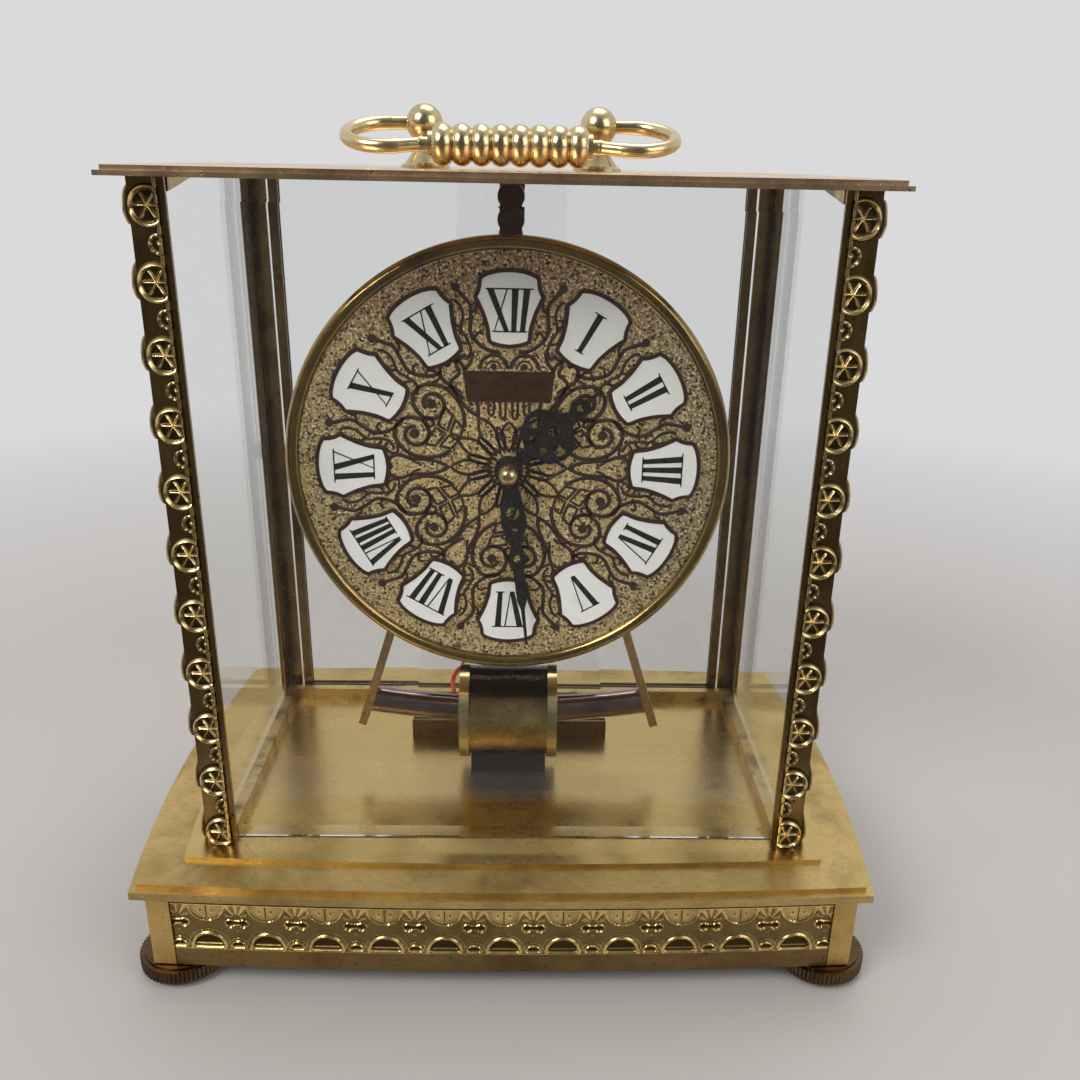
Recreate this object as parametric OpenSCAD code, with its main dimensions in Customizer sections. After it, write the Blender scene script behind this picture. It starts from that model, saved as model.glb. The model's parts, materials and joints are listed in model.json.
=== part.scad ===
// Electromagnetic mantel clock: glazed brass cage on a stepped base, carrying handle on the roof.
// Front of the clock faces -Y, up is +Z, the origin is under the middle of the base.

/* [Base] */
// Width of the base box, corner to corner
base_w = 213.4; // [200:1:240]
// Depth of the base box, corner to corner
base_d = 138.4; // [132:1:160]
// Height of the base box under its lid
base_h = 26.4; // [22:0.2:34]
// Swell of the left and right sides of the base
base_bow_side = 4.6; // [2:0.2:8]
// Swell of the front and rear of the base
base_bow_front = 3.3; // [1.5:0.1:6]
// Thickness of the base sheet metal
sheet_t = 1.2; // [0.8:0.1:1.6]
// Thickness of the lower, wider step of the lid
lid_lip_t = 2.5; // [1.5:0.1:4]
// Thickness of the upper step of the lid
lid_top_t = 1.6; // [1:0.1:3]
// Overhang of the lower step beyond the box
lid_lip_over = 3.6; // [2.5:0.1:6]
// Overhang of the upper step beyond the box
lid_top_over = 1.5; // [0.5:0.1:2.4]
// Width of each face of the corner posts of the base
post_w = 6.9; // [5:0.1:9]
// Depth that the corner posts, rails and ornament strips take up in front of the shell
skin_t = 1.4; // [1.2:0.1:2]
// Height of the lower rail under the ornament strip
rail_h = 6.3; // [4:0.1:8]
// Height of the ornament strip of the base
strip_h = 16.5; // [12:0.1:17]
// Set-back of the ornament strip behind the rails
strip_back = 0.5; // [0.2:0.1:0.7]
// Pitch of the large arches of the ornament strip
arch_pitch = 17.8; // [16:0.1:22]
// Half width of a large arch
arch_r = 4.5; // [3.5:0.1:5]

/* [Feet] */
// Distance of the foot axes in from the base's corners, left and right
foot_in_x = 6.2; // [5.7:0.1:14]
// Distance of the foot axes in from the base's corners, front and rear
foot_in_y = 9.7; // [9.2:0.1:17]
// Gap between the table and the base box
foot_h = 7; // [6:0.1:10]
// Radius of the knurled foot disc
foot_r = 13.4; // [9:0.1:14]
// Radius of the threaded foot stud
stud_r = 3; // [2:0.1:3.2]
// Travel of a levelling foot
foot_travel = 3; // [1:0.1:4]
// Number of knurls round a foot disc
foot_knurls = 60; // [40:1:72]

/* [Cage] */
// Width of the cage over its corner columns
cage_w = 184.2; // [176:0.2:190]
// Depth of the cage over its corner columns
cage_d = 104; // [96:0.5:112]
// Height of the cage between floor plate and roof
cage_h = 192.4; // [188:0.2:215]
// Width of each face of the corner columns
column_w = 9.1; // [8:0.1:11]
// Thickness of the column sheet
column_t = 1.2; // [0.8:0.1:1.6]
// Thickness of the glass
glass_t = 3.5; // [2.5:0.1:4]
// Width of the bevel round each pane
bevel_w = 5.2; // [3:0.1:9]
// Thickness left at the edge of a bevelled pane
bevel_edge = 2; // [1.5:0.1:2.4]
// Clearance round the glass
glass_gap = 0.3; // [0.2:0.05:0.5]
// Width of the channel that holds the side panes
channel_w = 3.3; // [2.5:0.1:4]
// Height of the channel that holds the side panes
channel_h = 4; // [3:0.1:6]
// Thickness of the raised cage floor
floor_t = 1.4; // [1:0.1:2.5]
// Overhang of floor and roof beyond the columns, left and right
deck_over_x = 5; // [4:0.1:6]
// Overhang of floor and roof beyond the columns, front and rear
deck_over_y = 7.3; // [6:0.1:8]
// Swell of the sides of floor and roof
deck_bow_side = 3.6; // [2:0.1:6]
// Swell of the front and rear of floor and roof
deck_bow_front = 2.9; // [1.5:0.1:5]
// Thickness of each of the two steps of the roof
roof_step_t = 1.2; // [0.8:0.1:2]
// Set-back of the upper roof step
roof_step_in = 1.5; // [1:0.1:3]
// Thickness of the column ornament at its rim
orn_t = 0.6; // [0.4:0.1:1]
// Height of the raised medallions of the column ornament
orn_rise = 1.3; // [0.8:0.1:2]
// Pitch of the large medallions up the columns
orn_pitch = 18.1; // [15:0.1:18.6]
// Distance from the roof down to the middle of the top medallion
orn_top = 6.4; // [6:0.1:9]
// Radius of the large medallions
orn_r = 5.2; // [4:0.1:5.6]
// Radius of the small medallions
orn_small_r = 3; // [2:0.1:3.1]
// Width of the plain edge that the medallions stand on
orn_edge = 2.6; // [2:0.1:3]

/* [Rear door] */
// Depth of the door frame
door_t = 4; // [3:0.1:4.4]
// Width of the door frame bars
door_bar = 3.2; // [3.2:0.1:8]
// Gap between the door and the columns
door_gap = 1.4; // [1.2:0.1:2]
// Gap between the door and the floor or roof
door_end_gap = 0.5; // [0.3:0.1:1]
// Radius of the door's pivot pins
door_pin_r = 0.9; // [0.6:0.1:1.1]
// Radius of the door knob
door_knob_r = 3.4; // [2.5:0.1:5]

/* [Handle] */
// Distance from the middle to each ball post
ball_x = 24.6; // [23:0.1:30]
// Radius of the post balls
ball_r = 5.2; // [4.6:0.1:5.6]
// Height of the ball centres above the roof
ball_z = 11.8; // [11.4:0.1:16]
// Radius of the handle rod
rod_r = 1.9; // [1.5:0.1:2.3]
// Distance from the ball axis to the grip axis
bail_reach = 20; // [19:0.1:26]
// Distance from the ball centre to the start of the end curve
bail_shoulder = 9.1; // [8:0.1:14]
// Radius of the end curves
bail_turn = 11.3; // [10.8:0.1:11.8]
// Radius of the grip over its ribs
grip_r = 5.4; // [4.5:0.1:5.7]
// Number of ribs on the grip
grip_ribs = 8; // [6:1:8]
// Pitch of the grip ribs
grip_pitch = 5.2; // [4.6:0.1:5.4]

/* [Dial] */
// Radius of the dial over its bezel
dial_r = 65.2; // [60:0.1:68]
// Width of the bezel ring
bezel_w = 4; // [2.5:0.1:4.5]
// Depth of the bezel ring
bezel_d = 4.6; // [3.6:0.1:6]
// Thickness of the dial plate
dial_t = 0.8; // [0.6:0.1:1.2]
// Distance of the dial's front rim ahead of the carrier plate
dial_ahead = 41; // [40:0.1:42.5]
// Radius of the ring that the numeral plaques are centred on
plaque_ring_r = 45.6; // [44:0.1:47]
// Height of a numeral plaque
plaque_h = 19.8; // [18:0.1:23]
// Width of a numeral plaque at its wide outer end
plaque_w = 18.1; // [15:0.1:19]
// Thickness of a numeral plaque
plaque_t = 0.5; // [0.3:0.1:0.8]

/* [Hands] */
// Length of the minute hand
minute_len = 56; // [50:0.5:58]
// Length of the hour hand
hour_len = 35; // [28:0.5:38]
// Thickness of the hands
hand_t = 0.5; // [0.3:0.1:0.7]
// Hub radius of the hands
hub_r = 4.2; // [3.4:0.1:5]
// Where the minute hand points, degrees clockwise from XII
minute_angle = 174; // [0:1:359]
// Where the hour hand points, degrees clockwise from XII
hour_angle = 48; // [0:1:359]

/* [Pendulum] */
// Height of the suspension axis under the roof
pivot_drop = 10.8; // [10:0.1:13]
// Height of the pendulum's magnet above the cage floor
magnet_h = 21.3; // [20:0.1:26]
// Distance of the pendulum's plane ahead of the carrier plate
swing_ahead = 18; // [17.6:0.1:19]
// Half length of the magnet bar
magnet_half = 46; // [40:0.5:50]
// Radius of the magnet bar
magnet_r = 4.5; // [3.5:0.1:4.6]
// Radius that the magnet bar is bent to
magnet_bend = 285; // [200:1:400]
// Width of a pendulum leg
leg_w = 2.8; // [2.5:0.1:4]
// Depth of a pendulum leg
leg_t = 4.4; // [3.5:0.1:4.6]
// Length of the legs below the magnet bar
leg_tail = 9.5; // [6:0.1:10]
// Width of the pendulum's hanger
hanger_w = 6.8; // [6.5:0.1:8]

/* [Coil] */
// Length of the coil over its flanges
coil_len = 32.6; // [28:0.1:36]
// Radius of the coil flanges
coil_r = 16.3; // [14.5:0.1:16.8]
// Radius of the coil's bore
coil_bore = 6.8; // [6.6:0.1:7.2]
// Width of a coil flange
flange_t = 3.2; // [2:0.1:4]
// Thickness of the brass coil cover
cover_t = 0.6; // [0.4:0.1:0.8]

/* [Carrier plate] */
// Room between the battery and the rear door
cell_clear = 1.7; // [1.2:0.1:2.3]
// Thickness of the clear carrier plate
carrier_t = 4; // [3:0.1:5]
// Half width of the carrier plate at its foot
carrier_foot = 35; // [32:0.5:38]
// Half width of the carrier plate at its top
carrier_top = 15.5; // [13:0.5:18]
// Height of the lips of the carrier's floor channel
lip_h = 7; // [5:0.1:9]
// Distance from the suspension axis down to the dial centre
hub_drop = 68; // [67.5:0.1:69]

/* [Movement] */
// Thickness of the movement plates
plate_t = 1.2; // [0.8:0.1:1.4]
// Gap between the two movement plates
plate_gap = 7.6; // [7.4:0.1:8.4]
// Distance of the rear movement plate's back ahead of the carrier plate
plate_ahead = 24.2; // [24.1:0.05:24.4]
// Tooth size of the going train
train_m = 0.4; // [0.38:0.01:0.42]
// Tooth size of the motion work
motion_m = 0.4; // [0.36:0.01:0.42]
// Radius of the setting shaft
shaft_r = 1.5; // [1.2:0.1:1.6]
// Radius of the train arbors
arbor_r = 0.75; // [0.6:0.05:0.9]
// Running clearance of shafts in their holes
run_gap = 0.05; // [0.03:0.01:0.08]
// Thickness of the train wheels
wheel_t = 0.8; // [0.5:0.1:1]
// Radius of the setting knob
knob_r = 7; // [5:0.1:9]

/* [Battery] */
// Radius of the battery
cell_r = 13; // [10:0.1:13]
// Length of the battery
cell_len = 50; // [44:0.5:52]
// Height of the battery's axis under the dial centre
cell_drop = 52; // [48:0.5:56]

/* [Hidden] */

// Heights, from the table up
box_z = foot_h;
lid_z = box_z + base_h;
lid_step_z = lid_z + lid_lip_t;
deck_z = lid_step_z + lid_top_t;
floor_z = deck_z + floor_t;
roof_z = floor_z + cage_h;
roof_step_z = roof_z + roof_step_t;
roof_top_z = roof_step_z + roof_step_t;
ball_c_z = roof_top_z + ball_z;
pivot_z = roof_z - pivot_drop;
hub_z = pivot_z - hub_drop;
coil_z = floor_z + magnet_h;
cell_z = hub_z - cell_drop;

// Feet
foot_x = base_w / 2 - foot_in_x;
foot_y = base_d / 2 - foot_in_y;

// Cage
deck_w = cage_w + 2 * deck_over_x;
deck_d = cage_d + 2 * deck_over_y;
column_in_x = cage_w / 2 - column_t;
column_in_y = cage_d / 2 - column_t;
opening_x = cage_w / 2 - column_w;
glass_z0 = floor_z + glass_gap;
glass_z1 = roof_z - glass_gap;
front_glass_y0 = -column_in_y + glass_gap;
front_glass_y1 = front_glass_y0 + glass_t;
side_glass_x1 = column_in_x - glass_gap;
side_glass_x0 = side_glass_x1 - glass_t;
side_glass_y = -front_glass_y1 - glass_gap;
channel_x1 = side_glass_x0 - glass_gap / 2;
channel_y1 = side_glass_y - glass_gap;

// Rear door
door_w = 2 * (opening_x - door_gap);
door_y0 = cage_d / 2 - door_t;
door_z0 = floor_z + door_end_gap;
door_z1 = roof_z - door_end_gap;
door_pin_x = door_w / 2 - 1.6;
door_pin_y = door_y0 + door_t / 2;
door_pin_len = door_end_gap + 0.8;
door_knob_x = -door_w / 2 + door_bar / 2;
door_knob_z = floor_z + cage_h * 0.5;

// Handle: half spans of the rod's start and shoulder, half length of the grip, and the bend beside the
// grip, from which a slanting stretch meets the end curve; the slope leaves the grip clear of the roof
bail_x0 = ball_x + 1.9;
bail_x1 = ball_x + bail_shoulder;
grip_half = grip_ribs * grip_pitch / 2 + 1.2;
neck_r = rod_r - 0.12;
elbow_r = rod_r + 0.1;
bend_x = grip_half + elbow_r + 0.1;
bend_run = bail_x1 - bend_x;
bend_rise = bail_reach - bail_turn;
bail_lean = asin(bail_turn / norm([bend_run, bend_rise])) - atan2(bend_rise, bend_run);
bail_slant = (bend_run - bail_turn * sin(bail_lean)) / cos(bail_lean);
grip_lift = 0.8;
bail_tilt = asin((ball_z - grip_r - grip_lift) / bail_reach);

// Depth places: the battery stands ahead of the rear door, and all the works go with its carrier plate
holder_t = 1.2;
carrier_y = door_y0 - cell_clear - 2 * cell_r - 0.1 - holder_t - carrier_t;
dial_front = dial_ahead - carrier_y;
swing_front = swing_ahead - carrier_y;
plate_rear = plate_ahead - carrier_y;

// Planes of the dial and the movement, front to back
dial_face_y = -dial_front + 1.5;
dial_back_y = dial_face_y + dial_t;
plate_rear_y1 = -plate_rear;
plate_rear_y0 = plate_rear_y1 - plate_t;
plate_front_y1 = plate_rear_y0 - plate_gap;
plate_front_y0 = plate_front_y1 - plate_t;
hour_pipe_r = shaft_r + 0.8;
hour_wheel_y0 = plate_front_y0 - 3.2;
minute_wheel_y0 = plate_front_y0 - 1.4;
hour_hand_y0 = dial_face_y - 2.6;
minute_hand_y0 = hour_hand_y0 - hand_t - 1;
nut_r = 2.8;
nut_len = 4.4;
setting_knob_y0 = carrier_y + carrier_t + 1.2;
setting_knob_t = 7;

// Trains: tooth counts and arbor places
centre_teeth = 64;
third_teeth = 60;
pinion_teeth = 8;
count_teeth = 75;
cannon_teeth = 12;
minute_teeth = 36;
minute_pinion_teeth = 10;
hour_teeth = 40;
motion_c = motion_m * (cannon_teeth + minute_teeth) / 2;
hour_m = 2 * motion_c / (minute_pinion_teeth + hour_teeth);
centre_c = train_m * (centre_teeth + pinion_teeth) / 2;
third_c = train_m * (third_teeth + pinion_teeth) / 2;
count_up = 21.3;
count_r = 12;
third_up = (count_up * count_up + centre_c * centre_c - third_c * third_c) / (2 * count_up);
third_x = -sqrt(centre_c * centre_c - third_up * third_up);
motion_a = -50;
motion_x = motion_c * sin(motion_a);
motion_up = motion_c * cos(motion_a);
motion_aim = 90 - motion_a;
third_aim = atan2(-third_up, -third_x);
count_aim = atan2(count_up - third_up, -third_x);
leaf_flank = [0.19, 0.19, 0.07];
centre_wheel_y0 = plate_front_y1 + 0.8;
third_wheel_y0 = plate_rear_y0 - 3.2;
count_wheel_y0 = plate_rear_y1 + 0.4;
count_wheel_y1 = count_wheel_y0 + wheel_t;
crutch_y0 = count_wheel_y1 + 0.2;
crutch_t = 0.6;

// Pendulum
leg_y0 = -swing_front - leg_t / 2;
hanger_t = 1.6;
hanger_y0 = leg_y0 - hanger_t;
leg_drop = 12;
leg_top_z = pivot_z - leg_drop;
magnet_rise = magnet_bend - sqrt(magnet_bend * magnet_bend - magnet_half * magnet_half);
magnet_end_z = coil_z + magnet_rise;
leg_top_x = leg_w / 2 + 0.3;
leg_slant0 = atan(magnet_half / (pivot_z - magnet_end_z));
leg_half = leg_w / 2 / cos(leg_slant0);
leg_run = magnet_half + leg_half - leg_top_x;
leg_a = atan(leg_run / (leg_top_z - magnet_end_z));
leg_len = (leg_top_z - magnet_end_z) / cos(leg_a) + leg_tail;
pin_z = pivot_z - 12.8;
crutch_z = hub_z + count_up + count_r + 9.9;
pawl_x = -6.5;
pawl_z = hub_z + count_up + count_r + 2.9;
pawl_gap = 0.25;
disc_r = 3.9;
disc_t = 1.4;
bracket_half = 3.8;
bracket_z0 = pivot_z + 3.1;
bracket_z1 = roof_z - 2.8;
bracket_y0 = hanger_y0 + hanger_t + disc_t + 0.4;
spring_t = 0.3;
spring_y0 = bracket_y0 + 0.3;
spring_y1 = spring_y0 + 3.4;
spring_z0 = pivot_z - 8.4;
spring_z1 = bracket_z0 + 1.3;

// Coil
coil_x1 = coil_len / 2;
bobbin_wall = 0.8;
winding_r = coil_r - cover_t - 1.2;

// Carrier plate, battery holder and battery
carrier_z = floor_z + 1.5;
holder_screw_x = 20;
holder_screw_z = cell_z - cell_r - 3;
screw_r = 1.1;
cell_y = carrier_y + carrier_t + holder_t + cell_r + 0.1;

// The red lead: straight off the terminal screw, down behind the coil's flange and out beside it,
// then forward and square onto the flange behind the magnet bar
lead_r = 0.8;
lead_from = [-holder_screw_x, carrier_y - 1.2, holder_screw_z];
lead_to = [-coil_x1, -swing_front + 8.2, coil_z + 0.4];
lead_knots = [
    lead_from, lead_from + [0, -1.8, 0], lead_from + [3.6, -2.2, -7.5],
    [lead_to[0] + 0.3, carrier_y - 2.8, coil_z + 9.8],
    lead_to + [-2.3, 5.2, 7.2], lead_to + [-3.5, 1.4, 5.6], lead_to + [-3, -0.8, 2],
    lead_to + [-1.8, 0, 0], lead_to
];
lead_last = len(lead_knots) - 1;
lead_path = [lead_from, for (i = [1 : lead_last - 2], k = [0 : 3])
    curve_point(lead_knots[i - 1], lead_knots[i], lead_knots[i + 1], lead_knots[i + 2], k / 4),
    lead_knots[lead_last - 1], lead_to];

// Places of the pillars: across and up from the dial centre
plate_posts = [[-17, -25], [17, -25], [-13.5, 31], [13.5, 31]];
carrier_posts = [[-13, -26], [13, -26], [-8.2, -12], [8.2, -12]];
dial_posts = [[-18, -20], [18, -20], [0, 31]];
post_r = 2;
carrier_post_r = 2.4;
dial_post_r = 1.5;
pin_r = 0.7;
crutch_stud_r = 0.8;
plates_x = 21;
plates_low = 30;
plates_up = 35;
tab_x = 6;
tab_up = 48;
knop_r = 7;
knop_h = 4.6;
door_knob_l = 5.6;
saddle_y = 9;
web_y = 5.5;
pawl_stud_r = 0.6;
slot_half = 0.75;
eps = 0.02;
orn_gap = 0.3;

brass = "#c9a24a";
gilt = "#d8b45c";
dark = "#3a2f28";
steel = "#b9b9bd";

// The common area of two equal circles set c to either side of the middle
module bow_pair(r, c, across) {
    intersection() {
        translate(across ? [c, 0] : [0, c]) circle(r = r, $fn = 3600);
        translate(across ? [-c, 0] : [0, -c]) circle(r = r, $fn = 3600);
    }
}

// Radius of a side that bows out by bow over its length
function bow_r(length, bow) = (length * length / 4 + bow * bow) / (2 * bow);

// How far out a bowed side of radius r lies at t from its middle, where it reaches far
function bow_at(r, far, t) = far - r + sqrt(r * r - t * t);

// A flat outline with four bowed sides; w and d are taken corner to corner, inset shrinks it evenly
module outline(w, d, bow_x, bow_y, inset = 0) {
    rx = bow_r(d, bow_x);
    ry = bow_r(w, bow_y);
    intersection() {
        bow_pair(rx - inset, w / 2 + bow_x - rx, true);
        bow_pair(ry - inset, d / 2 + bow_y - ry, false);
    }
}

module base_outline(inset = 0) {
    outline(base_w, base_d, base_bow_side, base_bow_front, inset);
}

module deck_outline(inset = 0) {
    outline(deck_w, deck_d, deck_bow_side, deck_bow_front, inset);
}

// A flat ring of the base outline between two insets
module base_ring(outer, inner) {
    difference() {
        base_outline(outer);
        base_outline(inner);
    }
}

// The part of the plan that the four corner posts take, grown by a gap
module post_corners(grow) {
    side = post_w + 10 + grow;
    for (sx = [-1, 1], sy = [-1, 1]) {
        translate([sx * (base_w / 2 + 10), sy * (base_d / 2 + 10)]) square(2 * side, center = true);
    }
}

// A round rod along Y from y0 to y1
module rod_y(x, z, r, y0, y1, fn = 48) {
    translate([x, y1, z]) rotate([90, 0, 0]) cylinder(r = r, h = y1 - y0, $fn = fn);
}

// A flat shape drawn as the front view and given its thickness along Y
module slab_y(y0, t) {
    translate([0, y0 + t, 0]) rotate([90, 0, 0]) linear_extrude(t) children();
}

// A box given by its lowest and highest corners
module block(low, high) {
    translate(low) cube([high[0] - low[0], high[1] - low[1], high[2] - low[2]]);
}

// Places its child at the four foot axes
module at_feet() {
    for (sx = [-1, 1], sy = [-1, 1]) {
        translate([sx * foot_x, sy * foot_y, 0]) children();
    }
}

// Base: the folded shell behind the ornament
module base_shell() {
    color(brass) translate([0, 0, box_z]) linear_extrude(base_h) base_ring(skin_t, skin_t + sheet_t);
}

// Base: the plate closing the bottom, with a tapped collar for each foot
module base_bottom_plate() {
    collar_r = stud_r + 1.4;
    collar_h = 10;
    color(dark) difference() {
        intersection() {
            translate([0, 0, box_z]) linear_extrude(collar_h) base_outline(skin_t + sheet_t);
            union() {
                block([-base_w, -base_d, box_z - 1], [base_w, base_d, box_z + sheet_t]);
                at_feet() cylinder(r = collar_r, h = box_z + 2 * collar_h, $fn = 48);
            }
        }
        at_feet() cylinder(r = stud_r + run_gap, h = box_z + 2 * collar_h, $fn = 48);
    }
}

// Plan of the base's corner post at +X and +Y, an angle whose flat faces follow the bowed sides
module corner_plan() {
    rx = bow_r(base_d, base_bow_side);
    ry = bow_r(base_w, base_bow_front);
    far_x = base_w / 2 + base_bow_side;
    far_y = base_d / 2 + base_bow_front;
    skin = skin_t - eps;
    lean_x = asin(base_d / 2 / rx);
    lean_y = asin(base_w / 2 / ry);
    corner = [base_w / 2, base_d / 2];
    inward = skin / cos(lean_x + lean_y) * [cos(lean_y) - sin(lean_x), cos(lean_x) - sin(lean_y)];
    x = corner[0] - post_w;
    y = corner[1] - post_w;
    polygon([[x, bow_at(ry, far_y, x)], corner, [bow_at(rx, far_x, y), y],
        [bow_at(rx - skin, far_x - skin, y), y], corner - inward,
        [x, bow_at(ry - skin, far_y - skin, x)]]);
}

// Base: four upright corner posts
module base_corner_posts() {
    color(gilt) translate([0, 0, box_z]) linear_extrude(base_h) for (turn = [0, 180]) {
        rotate(turn) corner_plan();
        rotate(turn) mirror([1, 0, 0]) corner_plan();
    }
}

// Base: lower rails between the corner posts
module base_lower_rails() {
    color(brass) translate([0, 0, box_z]) linear_extrude(rail_h) difference() {
        base_ring(0, skin_t);
        post_corners(0.3);
    }
}

// One round rod per pitch along a side, reaching through the ornament strip
module rod_row(count, far, z, r) {
    for (i = [-(count - 1) / 2 : (count - 1) / 2]) {
        rod_y(i * arch_pitch, z, r, -far - 10, -far + 10, 32);
    }
}

// The ornament strip of the side that faces -Y, once the base is turned by quarter
module gallery_side(length, far, quarter) {
    z0 = box_z + rail_h;
    count = round((length - 2 * post_w) / arch_pitch);
    end = length / 2 - post_w - 0.3;
    sill = z0 + 0.9;
    intersection() {
        union() {
            difference() {
                translate([0, 0, z0]) linear_extrude(strip_h) rotate(quarter) base_ring(strip_back, skin_t);
                intersection() {
                    union() {
                        rod_row(count, far, sill, arch_r);
                        rod_row(count + 1, far, sill, arch_r * 0.42);
                    }
                    block([-length, -far - 12, sill], [length, -far + 12, z0 + strip_h]);
                }
            }
            intersection() {
                translate([0, 0, z0]) linear_extrude(strip_h) rotate(quarter) base_ring(0.1, skin_t);
                rod_row(count, far, z0 + strip_h - 0.8, arch_r * 1.24);
            }
        }
        block([-end, -far - 12, z0], [end, -far + 12, z0 + strip_h]);
    }
}

// Base: pierced ornament strips on all four sides
module base_gallery_strips() {
    color(gilt) for (turn = [0, 180]) {
        rotate(turn) gallery_side(base_w, base_d / 2, 0);
        rotate(turn + 90) gallery_side(base_d, base_w / 2, 90);
    }
}

// Base: the stepped lid, a tray open below
module base_lid() {
    wall = skin_t + sheet_t + 3;
    color(gilt) difference() {
        union() {
            translate([0, 0, lid_z]) linear_extrude(lid_lip_t) base_outline(-lid_lip_over);
            translate([0, 0, lid_step_z]) linear_extrude(lid_top_t) base_outline(-lid_top_over);
        }
        translate([0, 0, lid_z - 1]) linear_extrude(lid_lip_t + 1) base_outline(wall);
    }
}

// The raised floor plate that the cage stands on, with a hole for the door's lower pivot
module cage_floor() {
    color(gilt) difference() {
        translate([0, 0, deck_z]) linear_extrude(floor_t) deck_outline();
        translate([door_pin_x, door_pin_y, deck_z - 1])
            cylinder(r = door_pin_r + run_gap, h = floor_t + 2, $fn = 32);
    }
}

// The stepped roof plate, with a hole for the door's upper pivot
module roof() {
    color(gilt) difference() {
        union() {
            translate([0, 0, roof_z]) linear_extrude(roof_step_t) deck_outline();
            translate([0, 0, roof_step_z]) linear_extrude(roof_step_t) deck_outline(roof_step_in);
        }
        translate([door_pin_x, door_pin_y, roof_z - 1])
            cylinder(r = door_pin_r + run_gap, h = 2.05, $fn = 32);
    }
}

// One levelling foot's threaded stud
module foot_stud(sx, sy) {
    color(steel) translate([sx * foot_x, sy * foot_y, 1.2]) cylinder(r = stud_r, h = box_z + 14, $fn = 48);
}

// One levelling foot's knurled disc, with a worn lower edge
module foot_disc(sx, sy) {
    rim_z = 1.6;
    disc_top = foot_h - 0.4;
    knurl = 2 * PI * foot_r / foot_knurls;
    color(brass) translate([sx * foot_x, sy * foot_y, 0]) difference() {
        union() {
            cylinder(r1 = foot_r - 2.4, r2 = foot_r - 0.6, h = rim_z, $fn = 96);
            translate([0, 0, rim_z]) cylinder(r = foot_r - 0.6, h = disc_top - rim_z - 0.6, $fn = 96);
            translate([0, 0, rim_z]) linear_extrude(disc_top - rim_z - 0.6)
                polygon([for (i = [0 : 2 * foot_knurls - 1])
                    let (a = i * 180 / foot_knurls, r = foot_r - (i % 2) * knurl * 0.4)
                    [r * cos(a), r * sin(a)]]);
            translate([0, 0, disc_top - 0.6]) cylinder(r = foot_r - 1.6, h = 0.6, $fn = 96);
        }
        translate([0, 0, -1]) cylinder(r = stud_r + run_gap, h = disc_top + 2, $fn = 48);
        translate([0, 0, -1]) cylinder(r = stud_r + 2, h = 1.8, $fn = 48);
    }
}

// Plan of one L-shaped column in the front left corner
module column_plan() {
    translate([-cage_w / 2, -cage_d / 2]) difference() {
        square(column_w);
        translate([column_t, column_t]) square(column_w);
    }
}

// The two front columns
module front_columns() {
    color(gilt) translate([0, 0, floor_z]) linear_extrude(cage_h) {
        column_plan();
        mirror([1, 0]) column_plan();
    }
}

// The two rear columns
module rear_columns() {
    color(brass) translate([0, 0, floor_z]) linear_extrude(cage_h) mirror([0, 1]) {
        column_plan();
        mirror([1, 0]) column_plan();
    }
}

// One ornament strip lying on a face that looks along -Y, with its straight edge at x = 0
module ornament_strip() {
    run = cage_h - 2 * orn_gap;
    top = run - orn_top;
    large_n = floor(top / orn_pitch);
    intersection() {
        union() {
            block([0, -orn_t, 0], [1.4, 0, run]);
            for (i = [0 : large_n]) {
                translate([orn_edge, 0, top - i * orn_pitch]) rotate([90, 0, 0]) {
                    cylinder(r = orn_r, h = orn_t, $fn = 48);
                    translate([0, 0, orn_t]) cylinder(r1 = orn_r - 0.4, r2 = orn_r * 0.55,
                        h = orn_rise, $fn = 48);
                }
            }
            for (i = [0 : large_n - 1]) {
                translate([orn_edge * 0.3, 0, top - (i + 0.5) * orn_pitch]) rotate([90, 0, 0]) {
                    cylinder(r = orn_small_r, h = orn_t, $fn = 32);
                    translate([0, 0, orn_t]) cylinder(r1 = orn_small_r - 0.3, r2 = orn_small_r * 0.4,
                        h = orn_rise * 0.6, $fn = 32);
                }
            }
        }
        block([0, -orn_t - orn_rise - 1, 0], [orn_edge + orn_r + 1, 0, run]);
    }
}

// The ornament on the front and outer faces of both front columns
module column_ornament() {
    inner = column_w - 1.6;
    color(brass) for (side = [0, 1]) mirror([side, 0, 0]) translate([0, 0, floor_z + orn_gap]) {
        translate([-cage_w / 2 + inner, -cage_d / 2, 0]) mirror([1, 0, 0]) ornament_strip();
        translate([-cage_w / 2, -cage_d / 2 + inner, 0]) rotate(-90) ornament_strip();
    }
}

// A bevelled pane standing in the XZ plane; its outer, bevelled face is at y = 0
module pane(w, h, t) {
    hull() {
        block([-w / 2, t - bevel_edge, 0], [w / 2, t, h]);
        block([-w / 2 + bevel_w, 0, bevel_w], [w / 2 - bevel_w, t, h - bevel_w]);
    }
}

// The front pane
module front_glass() {
    color("#dfeeee", 0.3) translate([0, front_glass_y0, glass_z0])
        pane(2 * side_glass_x1, glass_z1 - glass_z0, glass_t);
}

// The two side panes
module side_glasses() {
    color("#dfeeee", 0.3) for (s = [-1, 1]) {
        translate([s * side_glass_x1, 0, glass_z0]) rotate(s * 90)
            pane(2 * side_glass_y, glass_z1 - glass_z0, glass_t);
    }
}

// Plan of the channel that holds the side panes and makes the rear sill
module channel_plan() {
    difference() {
        translate([-channel_x1, -channel_y1]) square([2 * channel_x1, 2 * channel_y1]);
        translate([-channel_x1 + channel_w, -channel_y1 - 1])
            square([2 * (channel_x1 - channel_w), 2 * channel_y1 - channel_w + 1]);
    }
}

// The channels at the foot and the head of the side panes
module glass_channels() {
    color(brass) for (z = [floor_z, roof_z - channel_h]) {
        translate([0, 0, z]) linear_extrude(channel_h) channel_plan();
    }
}

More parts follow.
